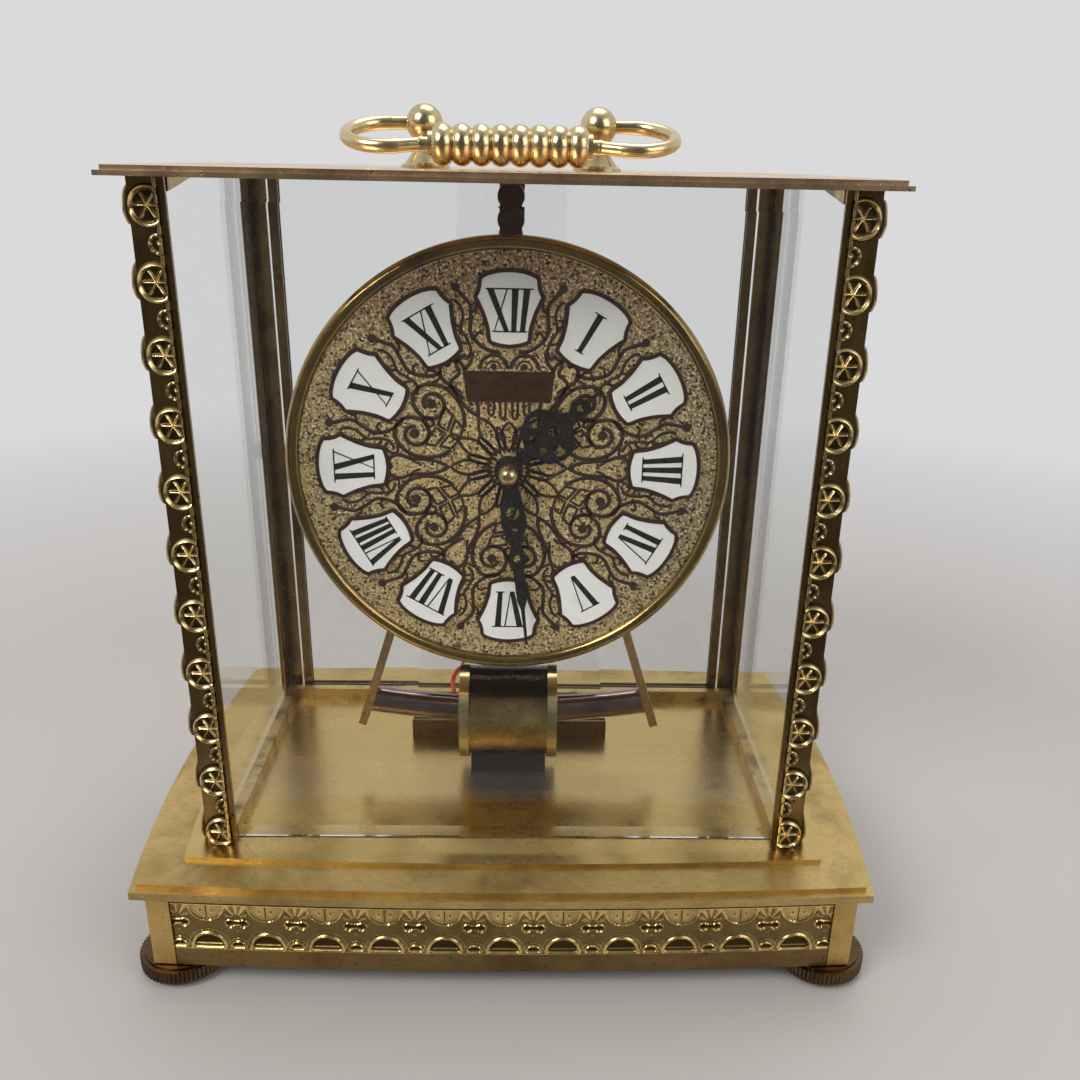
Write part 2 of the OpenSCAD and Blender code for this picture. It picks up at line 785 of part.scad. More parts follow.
// The rear door's frame with its two pivot pins
module door_frame() {
    color(brass) {
        difference() {
            block([-door_w / 2, door_y0, door_z0], [door_w / 2, door_y0 + door_t, door_z1]);
            block([-door_w / 2 + door_bar, door_y0 - 1, door_z0 + door_bar],
                [door_w / 2 - door_bar, door_y0 + door_t + 1, door_z1 - door_bar]);
            block([-door_w / 2 + 2, door_y0 + 0.8, door_z0 + 2],
                [door_w / 2 - 2, door_y0 + door_t - 0.8, door_z1 - 2]);
            rod_y(door_knob_x, door_knob_z, 1, door_y0 + door_t - 1, door_y0 + door_t + 1, 24);
        }
        for (z = [door_z0 - door_pin_len, door_z1]) {
            translate([door_pin_x, door_pin_y, z]) cylinder(r = door_pin_r, h = door_pin_len, $fn = 32);
        }
    }
}

// The rear door's pane, held in the frame's groove
module door_glass() {
    color("#dfeeee", 0.3)
        block([-door_w / 2 + 2.1, door_y0 + 0.9, door_z0 + 2.1],
            [door_w / 2 - 2.1, door_y0 + door_t - 0.9, door_z1 - 2.1]);
}

// The rear door's knob
module door_knob() {
    color(gilt) translate([door_knob_x, door_y0 + door_t, door_knob_z]) rotate([-90, 0, 0])
        rotate_extrude($fn = 48) polygon([[0, -0.7], [0.95, -0.7], [0.95, 0], [1.6, 0], [1.4, 2],
            [door_knob_r - 0.7, 2.6], [door_knob_r, 3.6], [door_knob_r - 0.6, door_knob_l - 0.6],
            [0, door_knob_l]]);
}

// The two ball posts that carry the handle
module handle_posts() {
    color(gilt) for (s = [-1, 1]) {
        translate([s * ball_x, 0, roof_top_z]) difference() {
            rotate_extrude($fn = 64) union() {
                polygon([[0, 0], [knop_r, 0], [knop_r, 0.8], [knop_r - 1.2, 1.4], [3.4, knop_h],
                    [2.6, ball_z - ball_r + 0.9], [0, ball_z - ball_r + 0.9]]);
                intersection() {
                    translate([0, ball_z]) circle(r = ball_r, $fn = 64);
                    translate([0, ball_z - ball_r]) square([ball_r, 2 * ball_r]);
                }
            }
            translate([s * 1.6, 0, ball_z]) rotate([0, s * 90, 0])
                cylinder(r = rod_r + run_gap, h = ball_r, $fn = 48);
        }
    }
}

// Turns a shape drawn in the bail's plane, its v axis along -Y and down, about the ball axis
module in_bail_plane() {
    translate([0, 0, ball_c_z]) rotate([bail_tilt, 0, 0]) mirror([0, 1, 0]) children();
}

// A straight stretch of the handle's rod, from its start along angle a
module bail_run(a, length, r = rod_r) {
    rotate(a) rotate([0, 90, 0]) cylinder(r = r, h = length, $fn = 48);
}

// The handle's bent rod; its straight stretches run a little into the end curves
module handle_bail() {
    color(brass) in_bail_plane() {
        for (s = [-1, 1]) {
            translate([s * bail_x0, 0, 0]) bail_run(s > 0 ? 0 : 180, bail_x1 - bail_x0 + 0.3, neck_r);
            translate([s * bail_x1, bail_turn, 0]) rotate(s > 0 ? -90 : 90 - bail_lean)
                rotate_extrude(angle = 180 + bail_lean, $fn = 96)
                    translate([bail_turn, 0]) circle(r = rod_r, $fn = 48);
            translate([s * bend_x, bail_reach, 0]) {
                rotate([0, 90, 0]) sphere(r = elbow_r, $fn = 48);
                bail_run(s > 0 ? bail_lean : 180 - bail_lean, bail_slant + 0.3, neck_r);
            }
        }
        translate([-bend_x, bail_reach, 0]) bail_run(0, 2 * bend_x);
    }
}

// The handle's turned grip: a row of round ribs on a sleeve, with a collar at each end
module handle_grip() {
    rib_r = grip_pitch * 0.62;
    color(gilt) in_bail_plane() translate([-grip_half, bail_reach, 0]) rotate([0, 90, 0])
        rotate_extrude($fn = 64) difference() {
            union() {
                square([rod_r + 1.5, 2 * grip_half]);
                for (i = [0 : grip_ribs - 1]) {
                    translate([grip_r - rib_r, 1.2 + (i + 0.5) * grip_pitch]) intersection() {
                        circle(r = rib_r, $fn = 48);
                        translate([-rib_r, -grip_pitch / 2]) square([2 * rib_r, grip_pitch]);
                    }
                }
            }
            translate([-20, -1]) square([20 + rod_r, 2 * grip_half + 2]);
        }
}

// The dial's bezel ring, rolled at the front
module bezel_profile() {
    translate([dial_r - bezel_w, 0]) union() {
        difference() {
            translate([bezel_w / 2, bezel_w / 2]) circle(r = bezel_w / 2, $fn = 48);
            translate([-1, bezel_w / 2]) square([bezel_w + 2, bezel_w]);
        }
        translate([0, bezel_w / 2]) square([bezel_w, bezel_d - bezel_w / 2]);
    }
}

module dial_bezel() {
    color(gilt) translate([0, -dial_front, hub_z]) rotate([-90, 0, 0])
        rotate_extrude($fn = 180) bezel_profile();
}

// The dial plate with its hole for the hour pipe and its feet behind
module dial_face() {
    color(brass) {
        difference() {
            rod_y(0, hub_z, dial_r - bezel_w - 0.05, dial_face_y, dial_back_y, 180);
            rod_y(0, hub_z, hour_pipe_r + 0.3, dial_face_y - 1, dial_back_y + 1, 48);
        }
        for (p = dial_posts) {
            rod_y(p[0], hub_z + p[1], dial_post_r, dial_back_y, plate_front_y0, 32);
        }
    }
}

// Outline of a numeral plaque: a shallow foot, flaring flanks up to an ear, and a domed outer end;
// the right half is given as shares of the plaque's half width and half height
module plaque_outline() {
    half = [[0, -1], [0.3, -0.965], [0.59, -0.885], [0.63, -0.51], [0.76, -0.135], [0.95, 0.24], [1, 0.29],
        [0.905, 0.465], [0.865, 0.62], [0.85, 0.8], [0.66, 0.9], [0.44, 0.958], [0.22, 0.99], [0, 1]];
    polygon([for (side = [1, -1], i = [0 : len(half) - 2])
        let (p = side > 0 ? half[i] : half[len(half) - 1 - i])
            [side * p[0] * plaque_w / 2, p[1] * plaque_h / 2]]);
}

// The twelve numeral plaques
module numeral_plaques() {
    color("white") slab_y(dial_face_y - plaque_t, plaque_t) translate([0, hub_z])
        for (i = [0 : 11]) {
            rotate(-30 * i) translate([0, plaque_ring_r]) plaque_outline();
        }
}

// Front view of the minute hand pointing up
module minute_hand_outline() {
    difference() {
        union() {
            circle(r = hub_r, $fn = 48);
            polygon([[-1.3, 0], [1.3, 0], [3.4, 11], [3.9, 16], [2.2, 22], [1.6, 23], [2.7, 27], [1.7, 31],
                [1.5, 41], [0.6, 44], [0.4, minute_len], [-0.4, minute_len], [-0.6, 44], [-1.5, 41],
                [-1.7, 31], [-2.7, 27], [-1.6, 23], [-2.2, 22], [-3.9, 16], [-3.4, 11]]);
        }
        translate([0, 13]) circle(r = 1.9, $fn = 32);
        translate([0, 18.4]) circle(r = 0.9, $fn = 24);
        translate([0, 27.4]) circle(r = 1.2, $fn = 24);
    }
}

// Front view of the hour hand pointing up
module hour_hand_outline() {
    k = hour_len / 35;
    difference() {
        union() {
            circle(r = hub_r, $fn = 48);
            polygon([[-1.6, 0], [1.6, 0], [2, 8 * k], [6.6, 10 * k], [8.6, 14.5 * k],
                [8.2, 18 * k], [5.6, 20.5 * k],
                [2.6, 22.5 * k], [1.4, 24.5 * k], [3, 26.5 * k], [2.6, 29 * k],
                [0.9, 30.4 * k], [0.4, hour_len],
                [-0.4, hour_len], [-0.9, 30.4 * k], [-2.6, 29 * k], [-3, 26.5 * k], [-1.4, 24.5 * k],
                [-2.6, 22.5 * k], [-5.6, 20.5 * k], [-8.2, 18 * k], [-8.6, 14.5 * k],
                [-6.6, 10 * k], [-2, 8 * k]]);
        }
        for (s = [-1, 1]) {
            translate([s * 5.3, 15 * k]) circle(r = 1.8, $fn = 32);
            translate([s * 2.3, 11.4 * k]) circle(r = 1, $fn = 24);
        }
        translate([0, 17.4 * k]) circle(r = 1.6, $fn = 32);
        translate([0, 27.6 * k]) circle(r = 1.1, $fn = 24);
    }
}

// The minute hand, held on the setting shaft by its nut
module minute_hand() {
    color("black") difference() {
        slab_y(minute_hand_y0, hand_t) translate([0, hub_z]) rotate(-minute_angle) minute_hand_outline();
        rod_y(0, hub_z, shaft_r, minute_hand_y0 - 1, minute_hand_y0 + hand_t + 1);
    }
}

// The hour hand, pressed on the hour pipe
module hour_hand() {
    color("black") difference() {
        slab_y(hour_hand_y0, hand_t) translate([0, hub_z]) rotate(-hour_angle) hour_hand_outline();
        rod_y(0, hub_z, hour_pipe_r, hour_hand_y0 - 1, hour_hand_y0 + hand_t + 1);
    }
}

// The domed nut that holds the minute hand
module hand_nut() {
    color(gilt) translate([0, minute_hand_y0, hub_z]) rotate([90, 0, 0])
        rotate_extrude($fn = 48) difference() {
        intersection() {
            union() {
                square([nut_r, nut_len]);
                translate([0, nut_len]) circle(r = nut_r, $fn = 48);
            }
            square([nut_r, nut_len + nut_r]);
        }
        square([shaft_r, nut_len - 0.4]);
    }
}

// Outline of a toothed wheel with a tooth, or a gap, at the angle aim; flank gives half widths of
// a tooth at root, pitch circle and tip, as shares of the pitch
module gear_outline(teeth, m, aim, gap = false, flank = [0.27, 0.22, 0.1]) {
    pitch = 360 / teeth;
    radii = [teeth * m / 2 - 1.15 * m, teeth * m / 2, teeth * m / 2 + 0.9 * m];
    first = aim + (gap ? pitch / 2 : 0);
    polygon([for (i = [0 : teeth - 1], k = [0 : 5])
        let (side = k < 3 ? -1 : 1,
            row = k < 3 ? k : 5 - k,
            a = first + pitch * (i + side * flank[row]))
        radii[row] * [cos(a), sin(a)]]);
}

// A toothed rim at a place given from the dial centre, with its thickness along Y
module gear(x, up, y0, t, teeth, m, aim, gap = false, flank = [0.27, 0.22, 0.1]) {
    slab_y(y0, t) translate([x, hub_z + up]) gear_outline(teeth, m, aim, gap, flank);
}

// An arbor whose thin pivots turn in both movement plates
module arbor(x, up, end) {
    rod_y(x, hub_z + up, arbor_r, plate_front_y0, end, 32);
    rod_y(x, hub_z + up, arbor_r + 0.3, plate_front_y1 + 0.1, plate_rear_y0 - 0.1, 32);
}

// The setting shaft: carries the minute hand, the cannon pinion and the setting knob
module setting_shaft() {
    color(steel) {
        rod_y(0, hub_z, shaft_r, minute_hand_y0 - 2, setting_knob_y0 + setting_knob_t - 0.2);
        gear(0, 0, minute_wheel_y0 - 0.3, 1.3, cannon_teeth, motion_m, motion_aim, false, leaf_flank);
        rod_y(0, hub_z, shaft_r + 1.1, centre_wheel_y0 + wheel_t + 0.1, centre_wheel_y0 + wheel_t + 0.7);
    }
}

// The hour wheel with the pipe that carries the hour hand
module hour_wheel() {
    color(brass) difference() {
        union() {
            gear(0, 0, hour_wheel_y0, wheel_t, hour_teeth, hour_m, motion_aim, true);
            rod_y(0, hub_z, hour_pipe_r, hour_hand_y0 - 0.5, hour_wheel_y0 + wheel_t + 0.3);
        }
        rod_y(0, hub_z, shaft_r + run_gap, hour_hand_y0 - 2, hour_wheel_y0 + 3);
    }
}

// The minute wheel with its pinion, turning on a stud of the front plate
module minute_wheel() {
    color(brass) difference() {
        union() {
            gear(motion_x, motion_up, minute_wheel_y0, wheel_t,
                minute_teeth, motion_m, motion_aim + 180, true);
            gear(motion_x, motion_up, hour_wheel_y0 - 0.3, minute_wheel_y0 - hour_wheel_y0 + 0.4,
                minute_pinion_teeth, hour_m, motion_aim + 180, false, leaf_flank);
        }
        rod_y(motion_x, hub_z + motion_up, arbor_r + run_gap, hour_wheel_y0 - 2, minute_wheel_y0 + 2, 32);
    }
}

// The knurled knob that sets the hands from behind
module setting_knob() {
    ribs = 36;
    color(gilt) difference() {
        union() {
            slab_y(setting_knob_y0 + 2, setting_knob_t - 3) translate([0, hub_z])
                polygon([for (i = [0 : 2 * ribs - 1])
                    let (a = i * 180 / ribs, r = knob_r - (i % 2) * 0.5)
                    r * [cos(a), sin(a)]]);
            rod_y(0, hub_z, knob_r - 0.6, setting_knob_y0 + 1.5, setting_knob_y0 + setting_knob_t);
            rod_y(0, hub_z, knob_r * 0.45, setting_knob_y0, setting_knob_y0 + 2);
        }
        rod_y(0, hub_z, shaft_r, setting_knob_y0 - 1, setting_knob_y0 + setting_knob_t - 0.2);
    }
}

// Outline of a movement plate about the dial centre, with or without the tab for the crutch
module plate_outline(tab) {
    polygon([[-plates_x, -plates_low], [plates_x, -plates_low], [plates_x, 0], [plates_x - 4, plates_up],
        [4 - plates_x, plates_up], [-plates_x, 0]]);
    if (tab) {
        polygon([[-tab_x - 4, plates_up - 1], [tab_x + 4, plates_up - 1], [tab_x, plates_up + 3],
            [tab_x, tab_up], [-tab_x, tab_up], [-tab_x, plates_up + 3]]);
    }
}

// Bores that a movement plate has for the setting shaft and both arbors
module plate_bores(y0) {
    rod_y(0, hub_z, shaft_r + run_gap, y0 - 1, y0 + plate_t + 1);
    rod_y(0, hub_z + count_up, arbor_r + run_gap, y0 - 1, y0 + plate_t + 1, 32);
    rod_y(third_x, hub_z + third_up, arbor_r + run_gap, y0 - 1, y0 + plate_t + 1, 32);
}

// The movement's front plate with the stud for the minute wheel
module movement_front_plate() {
    color(brass) {
        difference() {
            slab_y(plate_front_y0, plate_t) translate([0, hub_z]) plate_outline(false);
            plate_bores(plate_front_y0);
        }
        rod_y(motion_x, hub_z + motion_up, arbor_r, hour_wheel_y0 - 0.7, plate_front_y0, 32);
    }
}

// The movement's rear plate with the stud for the crutch
module movement_rear_plate() {
    color(brass) {
        difference() {
            slab_y(plate_rear_y0, plate_t) translate([0, hub_z]) plate_outline(true);
            plate_bores(plate_rear_y0);
        }
        rod_y(0, crutch_z, crutch_stud_r, plate_rear_y1, crutch_y0 + crutch_t + 0.2, 32);
    }
}

// The pillars between the plates and those that carry the movement on the clear plate
module movement_pillars() {
    color(gilt) {
        for (p = plate_posts) {
            rod_y(p[0], hub_z + p[1], post_r, plate_front_y1, plate_rear_y0, 32);
        }
        for (p = carrier_posts) {
            rod_y(p[0], hub_z + p[1], carrier_post_r, plate_rear_y1, carrier_y, 32);
        }
    }
}

// The centre wheel, held on the setting shaft by friction
module centre_wheel() {
    color(brass) difference() {
        union() {
            gear(0, 0, centre_wheel_y0, wheel_t, centre_teeth, train_m, third_aim + 180, true);
            rod_y(0, hub_z, shaft_r + 1.2, centre_wheel_y0 - 0.5, centre_wheel_y0);
        }
        rod_y(0, hub_z, shaft_r + run_gap, centre_wheel_y0 - 2, centre_wheel_y0 + 2);
        for (a = [45 : 90 : 315]) {
            rod_y(7.4 * cos(a), hub_z + 7.4 * sin(a), 3.4, centre_wheel_y0 - 1, centre_wheel_y0 + 2, 32);
        }
    }
}

// The third wheel and its pinion on one arbor
module third_wheel() {
    color(brass) {
        difference() {
            gear(third_x, third_up, third_wheel_y0, wheel_t, third_teeth, train_m, count_aim);
            for (a = [0 : 90 : 270]) {
                rod_y(third_x + 6.8 * cos(a), hub_z + third_up + 6.8 * sin(a), 3.2,
                    third_wheel_y0 - 1, third_wheel_y0 + 2, 32);
            }
        }
        gear(third_x, third_up, centre_wheel_y0 - 0.4, 2.2,
            pinion_teeth, train_m, third_aim, false, leaf_flank);
        arbor(third_x, third_up, plate_rear_y1);
    }
}

// The count wheel: a fine ratchet behind the rear plate, driven one tooth by each beat pair
module count_wheel() {
    pitch = 360 / count_teeth;
    root = count_r - 0.9;
    color(gilt) {
        difference() {
            slab_y(count_wheel_y0, wheel_t) translate([0, hub_z + count_up])
                polygon([for (i = [0 : count_teeth - 1], k = [0, 1])
                    let (a = 90 + pitch * (i + k * 0.12), r = k == 0 ? count_r : root)
                    r * [cos(a), sin(a)]]);
            for (a = [18 : 72 : 306]) {
                rod_y(6.6 * cos(a), hub_z + count_up + 6.6 * sin(a), 2.7, count_wheel_y0 - 1,
                    count_wheel_y1 + 1, 32);
            }
        }
        gear(0, count_up, third_wheel_y0 - 0.6, 2.2,
            pinion_teeth, train_m, count_aim + 180, true, leaf_flank);
        arbor(0, count_up, count_wheel_y1);
    }
}

// The crutch: a fork round the hanger's pin, and an arm that carries the pawl
module crutch() {
    fork_in = pin_r + 0.15;
    fork_out = fork_in + 1.1;
    arm_a = atan2(pawl_z - crutch_z, pawl_x);
    arm_len = norm([pawl_x, pawl_z - crutch_z]);
    color(steel) {
        difference() {
            slab_y(crutch_y0, crutch_t) translate([0, crutch_z]) difference() {
                union() {
                    circle(r = 2.2, $fn = 48);
                    translate([-fork_out, 0]) square([2 * fork_out, pin_z - crutch_z + 2.4]);
                    rotate(arm_a) translate([0, -0.9]) square([arm_len, 1.8]);
                    translate([pawl_x, pawl_z - crutch_z]) circle(r = 1.5, $fn = 32);
                }
                translate([-fork_in, pin_z - crutch_z - 2.2]) square([2 * fork_in, 6]);
            }
            rod_y(0, crutch_z, crutch_stud_r + run_gap, crutch_y0 - 1, crutch_y0 + crutch_t + 1, 32);
        }
        rod_y(pawl_x, pawl_z, pawl_stud_r, count_wheel_y0 - 0.1, crutch_y0, 32);
    }
}

// The driving pawl, its hook just clear of the ratchet teeth
module driving_pawl() {
    tip_z = hub_z + count_up + count_r + pawl_gap;
    color(steel) difference() {
        slab_y(count_wheel_y0, wheel_t) {
            translate([pawl_x, pawl_z]) circle(r = 1.4, $fn = 32);
            polygon([[pawl_x, pawl_z - 0.8], [-0.1, pawl_z - 1.5], [0.2, tip_z], [0.6, tip_z + 0.1],
                [1.1, pawl_z - 0.6], [0.8, pawl_z], [pawl_x, pawl_z + 1]]);
        }
        rod_y(pawl_x, pawl_z, pawl_stud_r + run_gap, count_wheel_y0 - 1, count_wheel_y1 + 1, 32);
    }
}

// The bracket on the clear plate that the suspension spring hangs from
module suspension_bracket() {
    color(dark) difference() {
        union() {
            block([-bracket_half, bracket_y0, bracket_z0], [bracket_half, carrier_y, bracket_z1]);
            block([-bracket_half, carrier_y - 1.6, bracket_z0 - 4.6], [bracket_half, carrier_y, bracket_z1]);
        }
        block([-slot_half, bracket_y0 - 1, bracket_z0 - 1],
            [slot_half, spring_y1 + 0.4, spring_z1 + 0.4]);
    }
}

// The leaf spring that the pendulum hangs on
module suspension_spring() {
    color(steel) block([-spring_t / 2, spring_y0, spring_z0], [spring_t / 2, spring_y1, spring_z1]);
}

// The pendulum's hanger: brown tongue, bright disc, clamp for the spring and pin for the crutch
module pendulum_hanger() {
    tongue_r = 2.8;
    tongue_z0 = pivot_z - 22;
    neck_z = pivot_z - 0.4;
    shoulder_z = neck_z - 3;
    color(dark) {
        difference() {
            union() {
                slab_y(hanger_y0, hanger_t) {
                    translate([0, neck_z]) circle(r = tongue_r, $fn = 48);
                    polygon([[-hanger_w / 2, tongue_z0], [hanger_w / 2, tongue_z0],
                        [hanger_w / 2, shoulder_z],
                        [tongue_r, neck_z], [-tongue_r, neck_z], [-hanger_w / 2, shoulder_z]]);
                }
                block([-3.2, leg_y0 - eps, pivot_z - 10.2], [3.2, spring_y1 + 0.7, pivot_z - 4]);
            }
            block([-spring_t / 2, spring_y0, spring_z0], [spring_t / 2, spring_y1, pivot_z]);
        }
        rod_y(0, pivot_z, disc_r, leg_y0 - eps, leg_y0 + disc_t, 64);
        rod_y(0, pin_z, pin_r, crutch_y0 - 0.5, hanger_y0 + eps, 32);
    }
}

// Sets a shape drawn along a leg, X outward and Z down the leg, on the left or right leg
module on_leg(s) {
    mirror([s > 0 ? 0 : 1, 0, 0]) translate([leg_top_x, 0, leg_top_z]) rotate([0, -leg_a, 0])
        mirror([0, 0, 1]) children();
}

// The two pendulum legs
module pendulum_legs() {
    color("#c26a3a") for (s = [-1, 1]) {
        on_leg(s) block([-leg_w / 2, leg_y0, 0], [leg_w / 2, leg_y0 + leg_t, leg_len]);
    }
}

// The bent magnet bar between the legs
module magnet_bar() {
    half_a = asin((magnet_half + 8) / magnet_bend);
    color("#8d8f94") difference() {
        translate([0, -swing_front, coil_z + magnet_bend]) rotate([90, 0, 0]) rotate(-90 - half_a)
            rotate_extrude(angle = 2 * half_a, $fn = 360) translate([magnet_bend, 0])
                circle(r = magnet_r, $fn = 48);
        for (s = [-1, 1]) {
            on_leg(s) block([-leg_w / 2, -swing_front - 10, 0], [30, -swing_front + 10, leg_len + 20]);
        }
    }
}

// A round rod along X about the coil axis
module coil_rod(r, x0, x1) {
    translate([x0, -swing_front, coil_z]) rotate([0, 90, 0]) cylinder(r = r, h = x1 - x0, $fn = 96);
}

// The coil former: a tube with two brass flanges
module coil_bobbin() {
    color(gilt) difference() {
        union() {
            coil_rod(coil_bore + bobbin_wall, -coil_x1, coil_x1);
            for (x = [-coil_x1, coil_x1 - flange_t]) {
                coil_rod(coil_r, x, x + flange_t);
            }
        }
        coil_rod(coil_bore, -coil_x1 - 1, coil_x1 + 1);
    }
}

// The wound wire, as one closed body
module coil_winding() {
    x1 = coil_x1 - flange_t;
    color("#8c3b1e") difference() {
        coil_rod(winding_r, -x1, x1);
        coil_rod(coil_bore + bobbin_wall, -x1 - 1, x1 + 1);
    }
}

// The brass sleeve over the winding
module coil_cover() {
    x1 = coil_x1 - flange_t;
    color(brass) difference() {
        coil_rod(winding_r + cover_t, -x1, x1);
        coil_rod(winding_r, -x1 - 1, x1 + 1);
    }
}

// The saddle that holds the coil on the cage floor
module coil_saddle() {
    half = coil_x1 - flange_t - 0.3;
    color(dark) difference() {
        union() {
            block([-half, -swing_front - saddle_y, floor_z], [half, -swing_front + saddle_y, floor_z + 1.5]);
            block([-half, -swing_front - web_y, floor_z],
                [half, -swing_front + web_y, coil_z - winding_r + 1]);
        }
        coil_rod(winding_r + cover_t, -coil_x1, coil_x1);
    }
}

// The clear plate that carries the movement and the suspension
module carrier_plate() {
    top = bracket_z1 + 0.5;
    color("#dfeeee", 0.3) difference() {
        slab_y(carrier_y, carrier_t) polygon([[-carrier_foot, carrier_z], [carrier_foot, carrier_z],
            [carrier_top, top], [-carrier_top, top]]);
        rod_y(0, hub_z, shaft_r + 2.5, carrier_y - 1, carrier_y + carrier_t + 1);
        for (s = [-1, 1]) {
            rod_y(s * holder_screw_x, holder_screw_z, screw_r, carrier_y - 1, carrier_y + carrier_t + 1, 32);
        }
    }
}

// The floor channel that the clear plate stands in
module carrier_channel() {
    half = carrier_foot + 0.4;
    wall = 1.1;
    color(brass) difference() {
        block([-half, carrier_y - 0.1 - wall, floor_z],
            [half, carrier_y + carrier_t + 0.1 + wall, floor_z + lip_h]);
        block([-half - 1, carrier_y - 0.1, carrier_z],
            [half + 1, carrier_y + carrier_t + 0.1, floor_z + lip_h + 1]);
    }
}

// A tube swept along a list of points, each ring square to the path there
module swept_tube(path, r, sides) {
    n = len(path);
    tangents = [for (i = [0 : n - 1]) path[min(i + 1, n - 1)] - path[max(i - 1, 0)]];
    rings = [for (i = [0 : n - 1], k = [0 : sides - 1])
        let (t = tangents[i] / norm(tangents[i]),
            u = cross(t, [0, 0, 1]) / norm(cross(t, [0, 0, 1])),
            v = cross(t, u),
            a = k * 360 / sides)
        path[i] + r * (cos(a) * u + sin(a) * v)];
    walls = [for (i = [0 : n - 2], k = [0 : sides - 1])
        let (a = i * sides + k, b = i * sides + (k + 1) % sides)
        [a, b, b + sides, a + sides]];
    start = [for (k = [0 : sides - 1]) sides - 1 - k];
    end = [for (k = [0 : sides - 1]) (n - 1) * sides + k];
    polyhedron(points = rings, faces = concat(walls, [start], [end]), convexity = 4);
}

// The point at the share t of a smooth curve through p1 and p2, led by p0 and p3
function curve_point(p0, p1, p2, p3, t) =
    0.5 * (2 * p1 + (p2 - p0) * t + (2 * p0 - 5 * p1 + 4 * p2 - p3) * t * t
        + (3 * p1 - p0 - 3 * p2 + p3) * t * t * t);

// The red lead from the terminal screw to the coil
module red_lead() {
    color("#b3201c") swept_tube(lead_path, lead_r, 8);
}

// The battery holder on the back of the clear plate, with its two terminal screws
module battery_holder() {
    back = carrier_y + carrier_t;
    floor_y = back + holder_t;
    half = cell_len / 2 + 0.3;
    color(dark) {
        difference() {
            union() {
                block([-half - holder_t, back, cell_z - cell_r - 4.6],
                    [half + holder_t, floor_y, cell_z + cell_r * 0.8]);
                for (x = [-half - holder_t, half]) {
                    block([x, back, cell_z - cell_r * 0.6],
                        [x + holder_t, cell_y + cell_r * 0.6, cell_z + cell_r * 0.6]);
                }
                for (x = [-cell_len * 0.3, cell_len * 0.3]) {
                    block([x - 3, back, cell_z - cell_r - holder_t],
                        [x + 3, cell_y + 4, cell_z - cell_r * 0.4]);
                }
            }
            translate([-half, cell_y, cell_z]) rotate([0, 90, 0])
                cylinder(r = cell_r + 0.05, h = 2 * half, $fn = 96);
        }
        for (s = [-1, 1]) {
            rod_y(s * holder_screw_x, holder_screw_z, screw_r, carrier_y, back + eps, 32);
            rod_y(s * holder_screw_x, holder_screw_z, screw_r + 1.1, carrier_y - 1.2, carrier_y, 32);
        }
    }
}

// The battery with its raised cap
module battery() {
    cap = 1.4;
    color("#4a4f55") translate([-cell_len / 2, cell_y, cell_z]) rotate([0, 90, 0]) {
        cylinder(r = cell_r, h = cell_len - cap, $fn = 96);
        cylinder(r = 3.2, h = cell_len, $fn = 48);
    }
}

base_shell();
base_bottom_plate();
base_corner_posts();
base_gallery_strips();
base_lower_rails();
base_lid();
cage_floor();
foot_stud(-1, -1);  // foot_stud_front_left
foot_stud(1, -1);  // foot_stud_front_right
foot_stud(-1, 1);  // foot_stud_rear_left
foot_stud(1, 1);  // foot_stud_rear_right
foot_disc(-1, -1);  // foot_disc_front_left
foot_disc(1, -1);  // foot_disc_front_right
foot_disc(-1, 1);  // foot_disc_rear_left
foot_disc(1, 1);  // foot_disc_rear_right
front_columns();
rear_columns();
column_ornament();
front_glass();
side_glasses();
glass_channels();
door_frame();
door_glass();
door_knob();
roof();
handle_posts();
handle_bail();
handle_grip();
dial_bezel();
dial_face();
numeral_plaques();
minute_hand();
hour_hand();
hand_nut();
setting_shaft();
hour_wheel();
minute_wheel();
setting_knob();
movement_front_plate();
movement_rear_plate();
movement_pillars();
centre_wheel();
third_wheel();
count_wheel();
crutch();
driving_pawl();
suspension_bracket();
suspension_spring();
pendulum_hanger();
pendulum_legs();
magnet_bar();
coil_bobbin();
coil_winding();
coil_cover();
coil_saddle();
carrier_plate();
carrier_channel();
red_lead();
battery_holder();
battery();
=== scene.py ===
"""Blender scene of an electromagnetic clock in a glass cage.

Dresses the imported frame: a finish for every part, relief ornament on the base and the columns,
the engraved dial with its enamel plaques and numerals, and a plain studio round the clock.
Lengths in the classes are millimetres; MM turns them into metres.
"""

import json
import logging
import math
from dataclasses import dataclass, field
from enum import Enum
from typing import Any

import bmesh
import bpy
import numpy as np
from mathutils import Matrix, Vector

